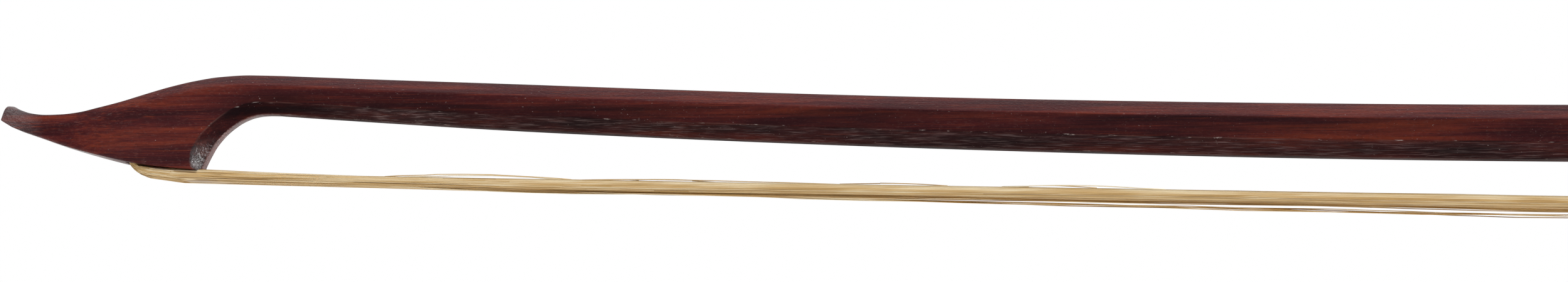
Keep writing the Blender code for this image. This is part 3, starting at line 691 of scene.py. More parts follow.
@dataclass(frozen=True)
class Horsehair(Finish):
    """Unbleached horsehair, combed flat. Each hair has its own tone, from brown to a pale straw gloss."""

    name: str = "horsehair_unbleached_combed"
    brown: str = "#86643b"
    straw: str = "#cfab70"
    pale: str = "#f5e8c8"
    bundled: bool = False
    roughness: float = 0.38
    specular: float = 0.35

    def dress(self, tree: Tree, shader: Node) -> None:
        """Adds each hair's tone, or for the bundle's heart a grain as fine as the hairs.

        Args:
            tree: the material's tree.
            shader: its Principled shader.
        """
        if self.bundled:
            tone = self.grain(tree, (50, 0.30, 0.22), (0.30, 0.75))
        else:
            own = add_node(tree, "ShaderNodeAttribute", {"attribute_name": "tone"}).outputs["Fac"]
            drift = self.grain(tree, (14, 0.8, 0.8), give=(-0.15, 0.15), detail=2)
            both = add_node(tree, "ShaderNodeMath", {"operation": "ADD"}, links={0: own, 1: drift})
            tone = both.outputs["Value"]
        ramp = add_node(tree, "ShaderNodeValToRGB", links={"Fac": tone})
        colour = ramp_stops(ramp, (0.05, self.brown), (0.5, self.straw), (0.95, self.pale))
        values = {"Roughness": self.roughness, "Specular IOR Level": self.specular}
        feed(tree, shader, values, {"Base Color": colour})


@dataclass(frozen=True)
class PlainStuff(Finish):
    """A small plain piece: cut plug wood, waxed thread, singed hair, bone with a polish, brass or steel.

    Its tone drifts over a real grain size, its gloss breaks up with the same grain, and a fine relief
    keeps it from looking like plastic.
    """

    name: str = "plain_stuff"
    light: str = "#ffffff"
    shade: str = "#808080"
    grain_mm: tuple[float, float, float] = (2.0, 0.4, 0.4)
    roughness: float = 0.4
    metallic: float = 0.0
    relief: float = 0.00002
    relief_strength: float = 0.4
    gloss_drift: float = 0.08

    def dress(self, tree: Tree, shader: Node) -> None:
        """Adds the tone, the gloss and the relief.

        Args:
            tree: the material's tree.
            shader: its Principled shader.
        """
        grain = self.grain(tree, self.grain_mm, (0.35, 0.65), detail=4)
        ramp = add_node(tree, "ShaderNodeValToRGB", links={"Fac": grain})
        colour = ramp_stops(ramp, (0.0, self.shade), (1.0, self.light))
        span = (self.roughness - self.gloss_drift, self.roughness + self.gloss_drift)
        dull = self.grain(tree, self.grain_mm, give=span)
        bump = add_node(
            tree, "ShaderNodeBump", values={"Strength": self.relief_strength, "Distance": self.relief},
            links={"Height": grain},
        )
        links = {"Base Color": colour, "Roughness": dull, "Normal": bump.outputs["Normal"]}
        feed(tree, shader, {"Metallic": self.metallic}, links)


WOOD = VarnishedBowWood()
FROG_WOOD = VarnishedBowWood(name="frog_wood_oiled_and_polished", wear=0.0, gloss=0.34)
HAIR = Horsehair()
# The bundle's heart gets a darker copy of the horsehair: painted shade for the inside of the bundle
SHADED_HAIR_HEART = Horsehair(name="horsehair_heart_painted_shade", brown="#5a3f24", straw="#a8844c", bundled=True)
PLUG_WOOD = PlainStuff("poplar_plug_knife_cut", "#b8935f", "#8f6c40", (4.0, 0.2, 0.2), 0.6)
THREAD = PlainStuff("linen_thread_waxed", "#d8ccb0", "#a8977a", (0.2, 0.2, 0.2), 0.7)
BURNT = PlainStuff("horsehair_singed_and_rosined", "#5a3a1e", "#241208", (0.3, 0.3, 0.3), 0.5)
BONE = PlainStuff("bone_turned_and_polished", "#e9e0c6", "#cdbf9c", (3.0, 0.3, 0.3), 0.35)
BRASS = PlainStuff("brass_cast_and_filed", "#c9a35a", "#a8823e", (0.8, 0.2, 0.2), 0.4, 1.0)
STEEL = PlainStuff("steel_turned", "#9a9a9c", "#7a7a7d", (0.8, 0.2, 0.2), 0.4, 1.0)
PAPER = PlainStuff("paper_backdrop_matt", "#f4f3f0", "#efeeea", (200.0, 200.0, 200.0), 0.9, relief=0.0001)


def dress(piece: Piece, finish: Finish, body: Body | None, slot: str, *replaced: str) -> None:
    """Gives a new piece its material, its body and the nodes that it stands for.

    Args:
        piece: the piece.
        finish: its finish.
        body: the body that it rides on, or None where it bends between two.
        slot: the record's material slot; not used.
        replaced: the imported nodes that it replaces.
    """
    piece.data.materials.clear()
    piece.data.materials.append(finish.material())
    if body:
        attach(piece, body.value)
    if replaced:
        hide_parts(*replaced)
    LOG.info("%s: %d faces, %s", piece.name, len(piece.data.polygons), finish.name)


# Stick and head


@dataclass(frozen=True)
class WearPlaces:
    """Where the stick and its head are darkened, streaked with painted sheen and thickly varnished.

    Lengths are in metres along the bow, and the rest are shares. A fade runs from full to nothing.
    """

    # How dark the ridge is made, and the painted shade under the stick and on the throat's inner strip
    ridge_darkening: float = 0.6
    under_painted_shade: float = 1.1
    throat_painted_shade: float = 0.25
    side_fade: float = 0.8
    side_fade_loss: float = 0.7
    side_fade_length: float = 0.09
    side_thinning: float = 0.35
    side_thinning_length: float = 0.20
    head_clearing: float = 0.85
    head_clearing_length: float = 0.35
    # Painted sheen: pale streaks by the neck, behind it on the lower facet, and on the throat's inner strip
    neck_sheen: float = 0.85
    neck_sheen_at: float = 0.062
    neck_sheen_reach: float = 0.009
    under_sheen: float = 0.35
    under_sheen_from: float = 0.046
    under_sheen_rise: float = 0.02
    throat_sheen: float = 1.3
    throat_end: float = 0.052
    throat_sheen_fall: float = 0.008
    chamfer_varnish: Sequence[float] = (0.8, 1.0, 0.35)
    varnish_climb: float = 0.40
    varnish_fade: float = 0.16
    varnish_edge: float = 1.3
    tip_varnish: float = 0.0050
    face_varnish: float = 0.016
    face_varnish_rings: int = 16
    strip_varnish: float = 0.3
    strip_end: float = 0.04


@dataclass
class StickAndHead:
    """The octagonal stick with its beaked head, carved in one, and the mortises and bore cut in it."""

    # (station, across flats)
    widths: Keys = (
        (0.0426, 0.00590), (0.060, 0.00638), (0.080, 0.00686), (0.105, 0.00712), (0.150, 0.00752),
        (0.200, 0.00795), (0.260, 0.00825), (0.360, 0.00860), (0.500, 0.00880), (0.700, 0.00880),
    )
    end_chamfer: float = 0.0006
    edge_radius: float = 0.00028
    edge_share: float = 0.4
    edge_weights: Sequence[float] = (0.0, 0.12, 0.8, 0.6)
    cheek_steps: int = 18
    head_rings: int = 170
    ring_spacing: float = 0.004
    face_radius: float = 0.00012
    face_shares: tuple[float, float] = (0.8, 0.5)
    # The head's lines in side view, as head points (along, over)
    top_line: Keys = (
        (0.0001, 0.00795), (0.0007, 0.00962), (0.0011, 0.00992), (0.0018, 0.00989), (0.0029, 0.00940),
        (0.0046, 0.00889), (0.0066, 0.00870), (0.0092, 0.00881), (0.0118, 0.00915), (0.0146, 0.00984),
        (0.0182, 0.01080), (0.0220, 0.01201), (0.0258, 0.01317), (0.0295, 0.01409), (0.0333, 0.01475),
        (0.0380, 0.01508), (0.0426, 0.01505),
    )
    face_line: Keys = (
        (0.0001, 0.00770), (0.0006, 0.00742), (0.0021, 0.00660), (0.0042, 0.00584), (0.0061, 0.00525),
        (0.0101, 0.00395), (0.0141, 0.00287), (0.0180, 0.00196), (0.0205, 0.00145), (0.0240, 0.00098),
        (0.0275, 0.00066), (0.0310, 0.00042),
    )
    throat_line: Keys = (
        (0.0426, 0.00915), (0.0404, 0.00911), (0.0386, 0.00880), (0.0370, 0.00814), (0.0358, 0.00736),
        (0.0347, 0.00645), (0.0338, 0.00550), (0.0329, 0.00428), (0.03225, 0.00308), (0.03180, 0.00215),
        (0.03144, 0.00135), (0.03124, 0.00085), (0.0310, 0.00042),
    )
    cheek_line: Keys = (
        (0.0426, 0.010878), (0.0387, 0.01072), (0.0367, 0.01017), (0.0347, 0.00912), (0.0328, 0.00753),
        (0.03115, 0.00570), (0.0304, 0.00421), (0.0300, 0.00325), (0.0299, 0.00230), (0.0299, 0.00160),
        (0.03000, 0.00108), (0.0302, 0.00074), (0.0306, 0.00046),
    )
    # Where on the top line the head's sections start, from the neck to the tip
    top_stops: Sequence[float] = (
        0.0426, 0.0380, 0.0345, 0.0310, 0.0270, 0.0220, 0.0170, 0.0130, 0.0095, 0.0065, 0.0038, 0.0012,
        0.0001,
    )
    # (along, depth of the upper chamfer), then (along, half width) at the ridge, the cheek's top, the face
    chamfer_depths: Keys = (
        (0.0001, 0.00025), (0.0013, 0.0004), (0.0027, 0.0008), (0.0043, 0.0013), (0.0068, 0.00147),
        (0.0106, 0.00165), (0.0140, 0.00170), (0.0300, 0.00172), (0.0426, 0.001728),
    )
    ridge_halves: Keys = (
        (0.0, 0.00040), (0.003, 0.00040), (0.007, 0.00045), (0.012, 0.00060), (0.018, 0.00090),
        (0.025, 0.00110), (0.0426, 0.001222),
    )
    upper_halves: Keys = (
        (0.0, 0.00078), (0.003, 0.00085), (0.006, 0.00100), (0.010, 0.00135), (0.014, 0.00180),
        (0.018, 0.00220), (0.022, 0.00250), (0.028, 0.00280), (0.0426, 0.00295),
    )
    face_halves: Keys = (
        (0.0, 0.00080), (0.003, 0.00090), (0.006, 0.00103), (0.009, 0.00130), (0.012, 0.00182),
        (0.014, 0.00240), (0.016, 0.00298), (0.019, 0.00350), (0.023, 0.00380), (0.031, 0.00385),
        (0.0426, 0.00305),
    )
    throat_half_at_face: float = 0.00155
    throat_narrowing: float = 0.6
    nib_start: float = 0.0068
    nib_fade: float = 0.0008
    flare_power: float = 1.3
    pull_start: float = 0.42
    flat_share: float = math.tan(math.radians(22.5)) / 2
    slope_step: float = 0.001
    slot_start: float = 0.6544
    slot_length: float = 0.016
    slot_half: float = 0.0027
    slot_top: float = 0.0032
    bore: float = 0.0017
    pilot_bore: float = 0.0011
    pilot_length: float = 0.0038
    upper_facet: int = 4
    wear: WearPlaces = WearPlaces()

    def octagon(self, station: float, shrink: float = 0.0) -> list[Vector]:
        """A section of the stick, square to its centre line.

        Args:
            station: where it lies.
            shrink: how far its flats stand in.

        Returns:
            Its points, round from the near side's ridge.
        """
        step = self.slope_step
        slope = (BOW.camber(station + step) - BOW.camber(station - step)) / (2 * step)
        up = Vector((-slope, 0, 1)).normalized()
        width = through(self.widths, station) - 2 * shrink
        flat, half = self.flat_share * width, width / 2
        side = [(-flat, half)]
        side += [(-half, flat - 2 * flat * i / self.cheek_steps) for i in range(self.cheek_steps + 1)]
        side += [(-flat, -half)]
        side += [(-y, z) for y, z in reversed(side)]
        centre = BOW.row_point(station, 0, BOW.camber(station))
        return [centre + Vector((0, y, 0)) + up * z for y, z in side]

    def chamfer_over(self, along: float) -> float:
        """Height of the upper chamfer's lower edge over the hair."""
        return through(self.top_line, along) - through(self.chamfer_depths, along)

    def cheek_half(self, along: float, over: float) -> float:
        """Half the head's width at a place on its cheek, which flares towards the face.

        Args:
            along: the place along the hair.
            over: its height over the hair.

        Returns:
            The half width.
        """
        top, bottom = self.chamfer_over(along), through(self.face_line, along)
        upper, lower = through(self.upper_halves, along), through(self.face_halves, along)
        share = clamped((top - over) / max(top - bottom, WELD))
        return upper + (lower - upper) * share**self.flare_power

    def head_section(self, share: float) -> list[Vector]:
        """A section of the head, as it swings from the neck down to the face.

        Args:
            share: 0 at the neck, 1 on the face.

        Returns:
            Its points, in the order of the octagon's.
        """
        throat, cheek = along_points(self.throat_line, share), along_points(self.cheek_line, share)
        stops = [(i / (len(self.top_stops) - 1), stop) for i, stop in enumerate(self.top_stops)]
        ridge = through(stops, share)
        throat_half = self.throat_half_at_face
        at_neck = self.flat_share * self.widths[0][1]
        throat_half += (at_neck - throat_half) * (1 - share) ** self.throat_narrowing
        pull = max(0.0, (share - self.pull_start) / (1 - self.pull_start))
        side = [(ridge, through(self.top_line, ridge), through(self.ridge_halves, ridge))]
        first, last = self.face_line[0], self.face_line[-1]
        # The beak's tip stands up over the cheek, so a section drops fast from there
        start = self.chamfer_over(ridge)
        if ridge < self.nib_start:
            to_tip = (self.nib_start - ridge) / (self.nib_start - first[0])
            start = self.chamfer_over(self.nib_start) * (1 - to_tip) + self.chamfer_over(first[0]) * to_tip
        nib = self.chamfer_over(ridge) - start
        for i in range(self.cheek_steps + 1):
            part = i / self.cheek_steps
            along = ridge + (cheek[0] - ridge) * part
            straight = start * (1 - part) + cheek[1] * part
            straight += nib * math.exp(-(along - ridge) / self.nib_fade)
            face_along = first[0] + (last[0] - first[0]) * part
            face_straight = first[1] + (last[1] - first[1]) * part
            over = straight + (through(self.face_line, face_along) - face_straight) * pull
            side.append((along, over, self.cheek_half(along, over)))
        side.append((*throat, throat_half))
        near = [BOW.head_point(along, -half, over) for along, over, half in side]
        far = [BOW.head_point(along, half, over) for along, over, half in reversed(side)]
        return near + far

    def softened(self, section: list[Vector]) -> list[tuple[Vector, float]]:
        """Rounds a section's eight corners.

        Args:
            section: its points.

        Returns:
            (point, how much of an edge it is) pairs: a lower corner counts in full, an upper one less.
        """
        count = len(section)
        last = self.cheek_steps + 2
        corners = dict(zip((0, 1, last - 1, last), self.edge_weights))
        corners.update({count - 1 - i: weight for i, weight in list(corners.items())})
        made = []
        for i, point in enumerate(section):
            if i not in corners:
                made.append((point, 0.0))
                continue
            ends = []
            for neighbour in (section[i - 1], section[(i + 1) % count]):
                away = neighbour - point
                reach = min(self.edge_radius, self.edge_share * away.length)
                ends.append(point + away.normalized() * reach)
            middle = (ends[0] + 2 * point + ends[1]) / 4
            made += [(ends[0], 0.0), (middle, corners[i]), (ends[1], 0.0)]
        return made

    def sections(self) -> list[list[Vector]]:
        """Lays out the stick's sections and then the head's.

        Returns:
            Every section, from the stick's end to the head's face.
        """
        stations = [BOW.stick_length - self.end_chamfer]
        count = round((stations[0] - BOW.neck_along) / self.ring_spacing)
        span = stations[0] - BOW.neck_along
        stations += [stations[0] - span * i / count for i in range(1, count)]
        made = [self.octagon(BOW.stick_length, self.end_chamfer)]
        made += [self.octagon(station) for station in stations]
        return made + [self.head_section(i / (self.head_rings - 1)) for i in range(self.head_rings)]

    def rim(self, before: list[Vector], face: list[Vector]) -> list[list[Vector]]:
        """Rounds the corner between the cheeks and the face.

        Args:
            before: the last section ahead of the face.
            face: the section that lies on it.

        Returns:
            Three sections that take the face's place.
        """
        rows: list[list[Vector]] = [[], [], []]
        of_rise, of_width = self.face_shares
        for start, corner in zip(before, face):
            rise = start - corner
            reach = min(self.face_radius, of_rise * rise.length, of_width * abs(corner.y))
            outer = corner + rise.normalized() * reach
            inner = corner - Vector((0, math.copysign(reach, corner.y), 0))
            for row, point in zip(rows, (outer, (outer + 2 * corner + inner) / 4, inner)):
                row.append(point)
        return rows

    @property
    def lower_facet(self) -> int:
        """The column where the lower facet begins, which in the throat is its chamfer."""
        return self.cheek_steps + 6

    @property
    def lowest_flat(self) -> int:
        """The column where the lowest flat begins, which in the throat is its inner strip."""
        return self.lower_facet + 3

    def darkening_at(self, row: int, column: int) -> float:
        """How dark a place is made: dark down the sides, with painted shade under the stick, little on the
        cheeks.

        Args:
            row: the section, counted from the stick's end.
            column: the point in it, counted from the near ridge.

        Returns:
            The share, 0 to 1.
        """
        wear = self.wear
        if column < self.upper_facet:
            return wear.ridge_darkening if column < self.upper_facet / 2 else 0.0
        stick_rows = round((BOW.stick_length - BOW.neck_along) / self.ring_spacing) + 1
        # Under the stick the darkening is painted shade, lighter on the throat's inner strip
        if column >= self.lower_facet:
            in_throat = column >= self.lowest_flat and row > stick_rows
            return wear.throat_painted_shade if in_throat else wear.under_painted_shade
        from_neck = max(0.0, (stick_rows - row) * self.ring_spacing)
        into_head = max(0, row - stick_rows) / self.head_rings
        # By the neck the darkening fades in down the side, farther back it starts at the facet's edge
        fade = wear.side_fade - wear.side_fade_loss * min(from_neck / wear.side_fade_length, 1.0)
        down = min((column - self.upper_facet) / (self.lower_facet - self.upper_facet) / fade, 1.0)
        most = 1.0 - wear.side_thinning * min(from_neck / wear.side_thinning_length, 1.0)
        return down * most * (1.0 - wear.head_clearing * min(into_head / wear.head_clearing_length, 1.0))

    def painted_sheen_at(self, along: float, column: int) -> float:
        """How much pale painted sheen a place has: most behind the neck on the lower facet, and in the
        throat.

        Args:
            along: the place along the bow.
            column: the point in its section, counted from the near ridge.

        Returns:
            The share, 0 to 1.
        """
        wear = self.wear
        if column <= self.lower_facet:
            return 0.0
        by_neck = wear.neck_sheen * math.exp(-(((along - wear.neck_sheen_at) / wear.neck_sheen_reach) ** 2))
        behind = wear.under_sheen * clamped((along - wear.under_sheen_from) / wear.under_sheen_rise)
        if column < self.lowest_flat:
            return max(by_neck, behind)
        in_throat = clamped((wear.throat_end - along) / wear.throat_sheen_fall, wear.throat_sheen)
        return max(by_neck, in_throat, behind)

    def varnish_at(self, along: float, to_face: int, column: int) -> float:
        """How thick and glossy the varnish is: on the throat's chamfers, at the tip and by the face.

        Args:
            along: the place along the bow.
            to_face: how many sections lie between it and the head's face.
            column: the point in its section, counted from the near ridge.

        Returns:
            The share, 0 to 1.
        """
        wear = self.wear
        chamfer = dict(enumerate(wear.chamfer_varnish, self.lower_facet)).get(column, 0.0)
        up_throat = (to_face / self.head_rings - wear.varnish_climb) / wear.varnish_fade
        by_throat = chamfer * clamped(1.0 - up_throat)
        by_tip = clamped(wear.varnish_edge - along / wear.tip_varnish)
        by_face = clamped(wear.varnish_edge - along / wear.face_varnish)
        by_face *= max(0.0, 1.0 - to_face / wear.face_varnish_rings)
        strip = wear.strip_varnish if column >= self.lowest_flat and along < wear.strip_end else 0.0
        return max(by_throat, by_tip, by_face, strip)

    def carve(self) -> Piece:
        """Skins the sections and closes the stick's end and the head's face.

        Returns:
            The stick with its head, still solid.
        """
        shape = bmesh.new()
        soft = [self.softened(section) for section in self.sections()]
        weights = [weight for _, weight in soft[0]]
        places = [[point for point, _ in section] for section in soft]
        places[-1:] = self.rim(places[-2], places[-1])
        names = ("edge", "darkening", "sheen_streaks", "varnish")
        for name in names:
            shape.verts.layers.float.new(name)
        rows = sleeve(shape, places)
        edge, darkening, sheen_streaks, varnish = (shape.verts.layers.float[name] for name in names)
        for i, row in enumerate(rows):
            for j, (vertex, weight) in enumerate(zip(row, weights)):
                column = min(j, len(row) - 1 - j)
                along = vertex.co.x + BOW.overall_length / 2
                vertex[edge] = weight
                # The darkening holds painted shade under the stick; the pale streaks are painted sheen
                vertex[darkening] = self.darkening_at(i, column)
                vertex[sheen_streaks] = self.painted_sheen_at(along, column)
                vertex[varnish] = self.varnish_at(along, len(rows) - 1 - i, column)
        bmesh.ops.contextual_create(shape, geom=edges_of(shape, rows[0]))
        half = len(rows[-1]) // 2
        rails = edges_of(shape, rows[-1][:half], False) + edges_of(shape, rows[-1][half:], False)
        bmesh.ops.grid_fill(shape, edges=rails, mat_nr=0, use_smooth=True)
        return finish_mesh("stick_with_head", shape, STICK_SHARP)

    def hollow(self, stick: Piece) -> None:
        """Cuts the head's mortise, the eyelet's mortise and the screw's bore.

        Args:
            stick: the carved stick.
        """
        mortise = bmesh.new()
        bmesh.ops.create_cube(mortise, size=2.0)
        at_mouth = (HAIR_MOUTH.mouth_width / 2, HAIR_MOUTH.lip, -HAIR_MOUTH.mouth_past)
        at_roof = (HAIR_MOUTH.roof_width / 2, 0.0, HAIR_MOUTH.roof_over)
        for vertex in mortise.verts:
            x, y, z = vertex.co
            half, front, over = at_mouth if z < 0 else at_roof
            along = HAIR_MOUTH.head_along + (HAIR_MOUTH.length if x > 0 else front)
            vertex.co = BOW.head_point(along, y * half, over)
        slot = block(
            BOW.row_point(self.slot_start, -self.slot_half, -BOW.handle_width),
            BOW.row_point(self.slot_start + self.slot_length, self.slot_half, self.slot_top),
        )
        in_slot = BOW.row_point(self.slot_start + self.slot_length / 2, 0, 0)
        bore = rod(in_slot, BOW.row_point(BOW.stick_length + PAST, 0, 0), self.bore)
        pilot = rod(BOW.row_point(self.slot_start - self.pilot_length, 0, 0), in_slot, self.pilot_bore)
        cut(stick, [finish_mesh("cutter", mortise), slot, bore, pilot], STICK_SHARP)

    def build(self) -> None:
        """Makes and dresses the stick."""
        stick = self.carve()
        self.hollow(stick)
        dress(stick, WOOD, Body.STICK, "bow_wood", "stick")


# Hair


@dataclass(frozen=True)
class HairMouth:
    """The mortises that hold the hair's ends, one in the head and one in the frog."""

    length: float = 0.0080
    mouth_width: float = 0.0049
    roof_width: float = 0.0039
    roof_over: float = 0.0060
    lip: float = 0.0006
    mouth_past: float = 0.001
    head_along: float = 0.0192
    frog_back: float = 0.031

    def in_head(self, deep: float, y: float, over: float) -> Vector:
        """A place in the head's mortise, from its tip-side wall towards the frog."""
        return BOW.head_point(self.head_along + deep, y, over)

    def in_frog(self, deep: float, y: float, over: float) -> Vector:
        """A place in the frog's mortise, from its heel-side wall towards the head."""
        return BOW.row_point(BOW.tongue_station + self.frog_back - deep, y, over - BOW.hair_drop)


HAIR_MOUTH = HairMouth()


@dataclass
class RibbonPlace:
    """A place on the ribbon's middle line, with the ribbon's size there."""

    centre: Vector
    thickness: float
    width: float
    across: Vector = field(default_factory=lambda: Vector((0, 0, 1)))


@dataclass
class HairRibbon:
    """The flat bundle of hair between the two mortises, hair by hair, and the slack hairs round it."""

    width: float = 0.0066
    hairs: int = 320
    hair_radius: float = 0.00009
    hair_sides: int = 3
    heart_share: float = 0.84
    heart_sides: int = 32
    heart_step: int = 2
    squareness: float = 4.0
    seed: int = 11
    angle_jitter: float = 0.8
    depth_spread: float = 0.14
    tone: tuple[float, float] = (0.54, 0.14)
    drift_angle: float = 0.05
    drift_height: float = 0.00003
    drift_lengths: tuple[float, float] = (0.08, 0.25)
    phases: tuple[float, float] = (0, 6.28)
    bend_jitter: float = 0.7
    slack_tone: tuple[float, float] = (0.6, 0.25)
    slack_front_jitter: float = 0.006
    slack_back_jitter: float = 0.01
    slack_side_jitter: float = 0.0006
    slack_waves: tuple[float, float] = (0.045, 0.09)
    slack_wave_share: float = 0.22
    slack_ring_spacing: float = 0.009
    slack_rings: tuple[int, int] = (9, 40)
    steps_per_key: int = 8
    # The folds are (how deep in the mortise, over the hair's top line, thickness, width)
    fold_in: Sequence[tuple[float, float, float, float]] = (
        (0.0047, 0.00450, 0.0009, 0.0030), (0.0028, 0.00450, 0.0009, 0.0036),
        (0.0016, 0.00425, 0.0009, 0.0039), (0.0009, 0.00355, 0.0009, 0.0040),
        (0.00090, 0.00265, 0.0009, 0.0040), (0.00130, 0.00165, 0.0009, 0.0040),
    )
    head_fold: Sequence[tuple[float, float, float, float]] = (
        (0.00175, 0.00112, 0.00102, 0.0041), (0.00240, 0.00068, 0.00125, 0.0045),
        (0.0032, 0.00044, 0.00152, 0.0050), (0.0042, 0.00023, 0.00166, 0.0055),
        (0.0057, 0.00005, 0.00166, 0.0059), (0.0083, -0.00020, 0.00164, 0.0063),
        (0.0118, -0.00054, 0.00138, 0.0066),
    )
    frog_fold: Sequence[tuple[float, float, float, float]] = (
        (0.00080, 0.00070, 0.0009, 0.0042), (0.00115, 0.00000, 0.0009, 0.0046),
        (0.0019, -0.00045, 0.0010, 0.0052), (0.0032, -0.00060, 0.0012, 0.0058),
        (0.0060, -0.00060, 0.0012, 0.0064), (0.0120, -0.00060, 0.0012, 0.0066),
    )
    # The free ribbon's (station, thickness), and how far its middle lies over a straight line
    fullness: Keys = (
        (0.031, 0.00132), (0.048, 0.00120), (0.060, 0.00142), (0.076, 0.00168), (0.095, 0.00174),
        (0.114, 0.00160), (0.170, 0.00160), (0.234, 0.00174), (0.400, 0.00152), (0.638, 0.00120),
    )
    lifts: Keys = (
        (0.031, 0.0), (0.048, -0.00004), (0.060, -0.00014), (0.076, -0.00026), (0.095, -0.00030),
        (0.114, -0.00022), (0.170, -0.00021), (0.234, -0.00028), (0.400, -0.00018), (0.638, 0.0),
    )
    spacing: float = 0.016
    # Where a hair has its rings, in the middle line's keys: close together only in the folds
    hair_rings: Sequence[float] = (
        4.2, 5.2, 6.2, 7.2, 8.4, 10.0, 12.2, 14.5, 17, 19.5, 22, 25, 29, 34, 40, 46, 50.6, 52.4, 54.0, 55.2,
        56.2, 57.4,
    )

    def middle_line(self) -> list[RibbonPlace]:
        """Runs from the knot in the head to the knot in the frog, in fine steps.

        Returns:
            The ribbon's middle line.
        """
        head = [(HAIR_MOUTH.in_head(d, 0, o), t, w) for d, o, t, w in (*self.fold_in, *self.head_fold)]
        frog = [(HAIR_MOUTH.in_frog(d, 0, o), t, w) for d, o, t, w in (*self.fold_in, *self.frog_fold)]
        start = head[-1][0]
        tongue = HAIR_MOUTH.in_frog(HAIR_MOUTH.frog_back, 0, self.frog_fold[-1][1])
        first = HAIR_MOUTH.head_along + self.head_fold[-1][0]
        count = round((BOW.tongue_station - first) / self.spacing)
        free = []
        for i in range(1, count + 1):
            share = i / count
            station = first + (BOW.tongue_station - first) * share
            lift = Vector((0, 0, through(self.lifts, station)))
            free.append((start.lerp(tongue, share) + lift, through(self.fullness, station), self.width))
        keys = head + free + frog[::-1]
        centres = [(centre.x, centre.z) for centre, _, _ in keys]
        sizes = [(thickness, width) for _, thickness, width in keys]
        last = (len(keys) - 1) * self.steps_per_key
        line = []
        for i in range(last + 1):
            x, z = along_points(centres, i / last)
            line.append(RibbonPlace(Vector((x, 0, z)), *along_points(sizes, i / last)))
        for place, forth in zip(line, directions([place.centre for place in line])):
            place.across = Vector((-forth.z, 0, forth.x)).normalized()
        return line

    def skin_point(self, place: RibbonPlace, angle: float, share: float, inset: float = 0.0) -> Vector:
        """A point round the ribbon, whose section is a rectangle with soft corners.

        Args:
            place: the place on the middle line.
            angle: how far round, in radians from the far edge.
            share: 1 in the skin, less inside.
            inset: how far in from there.

        Returns:
            The point.
        """
        cos, sin = math.cos(angle), math.sin(angle)
        reach = (abs(cos) ** self.squareness + abs(sin) ** self.squareness) ** (-1 / self.squareness)
        y = reach * cos * (place.width / 2 * share - inset)
        over = reach * sin * (place.thickness / 2 * share - inset)
        return place.centre + Vector((0, y, 0)) + place.across * over

    def heart(self, line: list[RibbonPlace]) -> Piece:
        """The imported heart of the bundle, which keeps daylight from showing between the hairs.

        Args:
            line: the ribbon's middle line.

        Returns:
            The heart.
        """
        shape = bmesh.new()
        fold_steps = (len(self.fold_in) + len(self.head_fold)) * self.steps_per_key
        chosen = []
        for i, place in enumerate(line):
            in_fold = min(i, len(line) - 1 - i) < fold_steps
            if i % (self.heart_step if in_fold else self.steps_per_key) == 0:
                chosen.append(place)
        angles = [2 * math.pi * i / self.heart_sides for i in range(self.heart_sides)]
        rows = sleeve(
            shape, [[self.skin_point(place, angle, self.heart_share) for angle in angles] for place in chosen]
        )
        for row in (rows[0], rows[-1]):
            bmesh.ops.contextual_create(shape, geom=edges_of(shape, row))
        return finish_mesh("hair_bundle_heart", shape, HEART_SHARP)

    def template(self, rings: int) -> bpy.types.Mesh:
        """A straight hair of unit radius from Z = 0 to 1, to be laid along a path.

        Args:
            rings: how many rings of vertices it has.

        Returns:
            Its mesh.
        """
        shape = bmesh.new()
        bmesh.ops.create_cone(
            shape, cap_ends=True, segments=self.hair_sides, radius1=1.0, radius2=1.0, depth=1.0
        )
        bmesh.ops.translate(shape, vec=(0, 0, 0.5), verts=shape.verts)
        upright = [e for e in shape.edges if abs(e.verts[0].co.z - e.verts[1].co.z) > 0.5]
        bmesh.ops.subdivide_edges(shape, edges=upright, cuts=rings - 2, use_grid_fill=True)
        return mesh_of("hair_template", shape)

    def add_hair(
        self, shape: Shape, template: bpy.types.Mesh, path: Sequence[Vector], tone: float
    ) -> None:
        """Adds one hair along a path.

        Args:
            shape: the bmesh that holds the hairs.
            template: the straight hair, with a ring for each point of the path.
            path: the hair's points.
            tone: how pale it is, 0 to 1.
        """
        first = len(shape.verts)
        shape.from_mesh(template)
        shape.verts.ensure_lookup_table()
        layer = shape.verts.layers.float["tone"]
        last = len(path) - 1
        side = Vector((0, 1, 0))
        ups = [forth.cross(side).normalized() for forth in directions(path)]
        for vertex in shape.verts[first:]:
            ring = round(vertex.co.z * last)
            offset = side * vertex.co.x + ups[ring] * vertex.co.y
            vertex.co = path[ring] + offset * self.hair_radius
            vertex[layer] = tone

    def comb(self, line: list[RibbonPlace]) -> Piece:
        """The combed hairs, most of them in the bundle's skin.

        Args:
            line: the ribbon's middle line.

        Returns:
            All of them as one piece.
        """
        chance = random.Random(self.seed)
        shape = bmesh.new()
        shape.verts.layers.float.new("tone")
        template = self.template(len(self.hair_rings))
        for number in range(self.hairs):
            angle = 2 * math.pi * (number + chance.random() * self.angle_jitter) / self.hairs
            share = 1.0 - self.depth_spread * chance.random() ** 2
            tone = clamped(chance.gauss(*self.tone))
            waves = [
                (chance.uniform(*self.drift_lengths), chance.uniform(*self.phases), chance.gauss(0, 1))
                for _ in range(2)
            ]
            path = []
            for i, key in enumerate(self.hair_rings):
                # Each hair bends at its own places, so the folds look round
                gap = self.hair_rings[min(i + 1, len(self.hair_rings) - 1)] - key
                own = key + chance.uniform(0.0, self.bend_jitter) * gap
                place = line[min(round(own * self.steps_per_key), len(line) - 1)]
                drift = sum(s * math.sin(place.centre.x / w * 2 * math.pi + p) for w, p, s in waves)
                turned = angle + self.drift_angle * drift
                point = self.skin_point(place, turned, share, self.hair_radius)
                path.append(point + place.across * (self.drift_height * drift))
            self.add_hair(shape, template, path, tone)
        return finish_mesh("hair_strands", shape, ALL_SMOOTH)

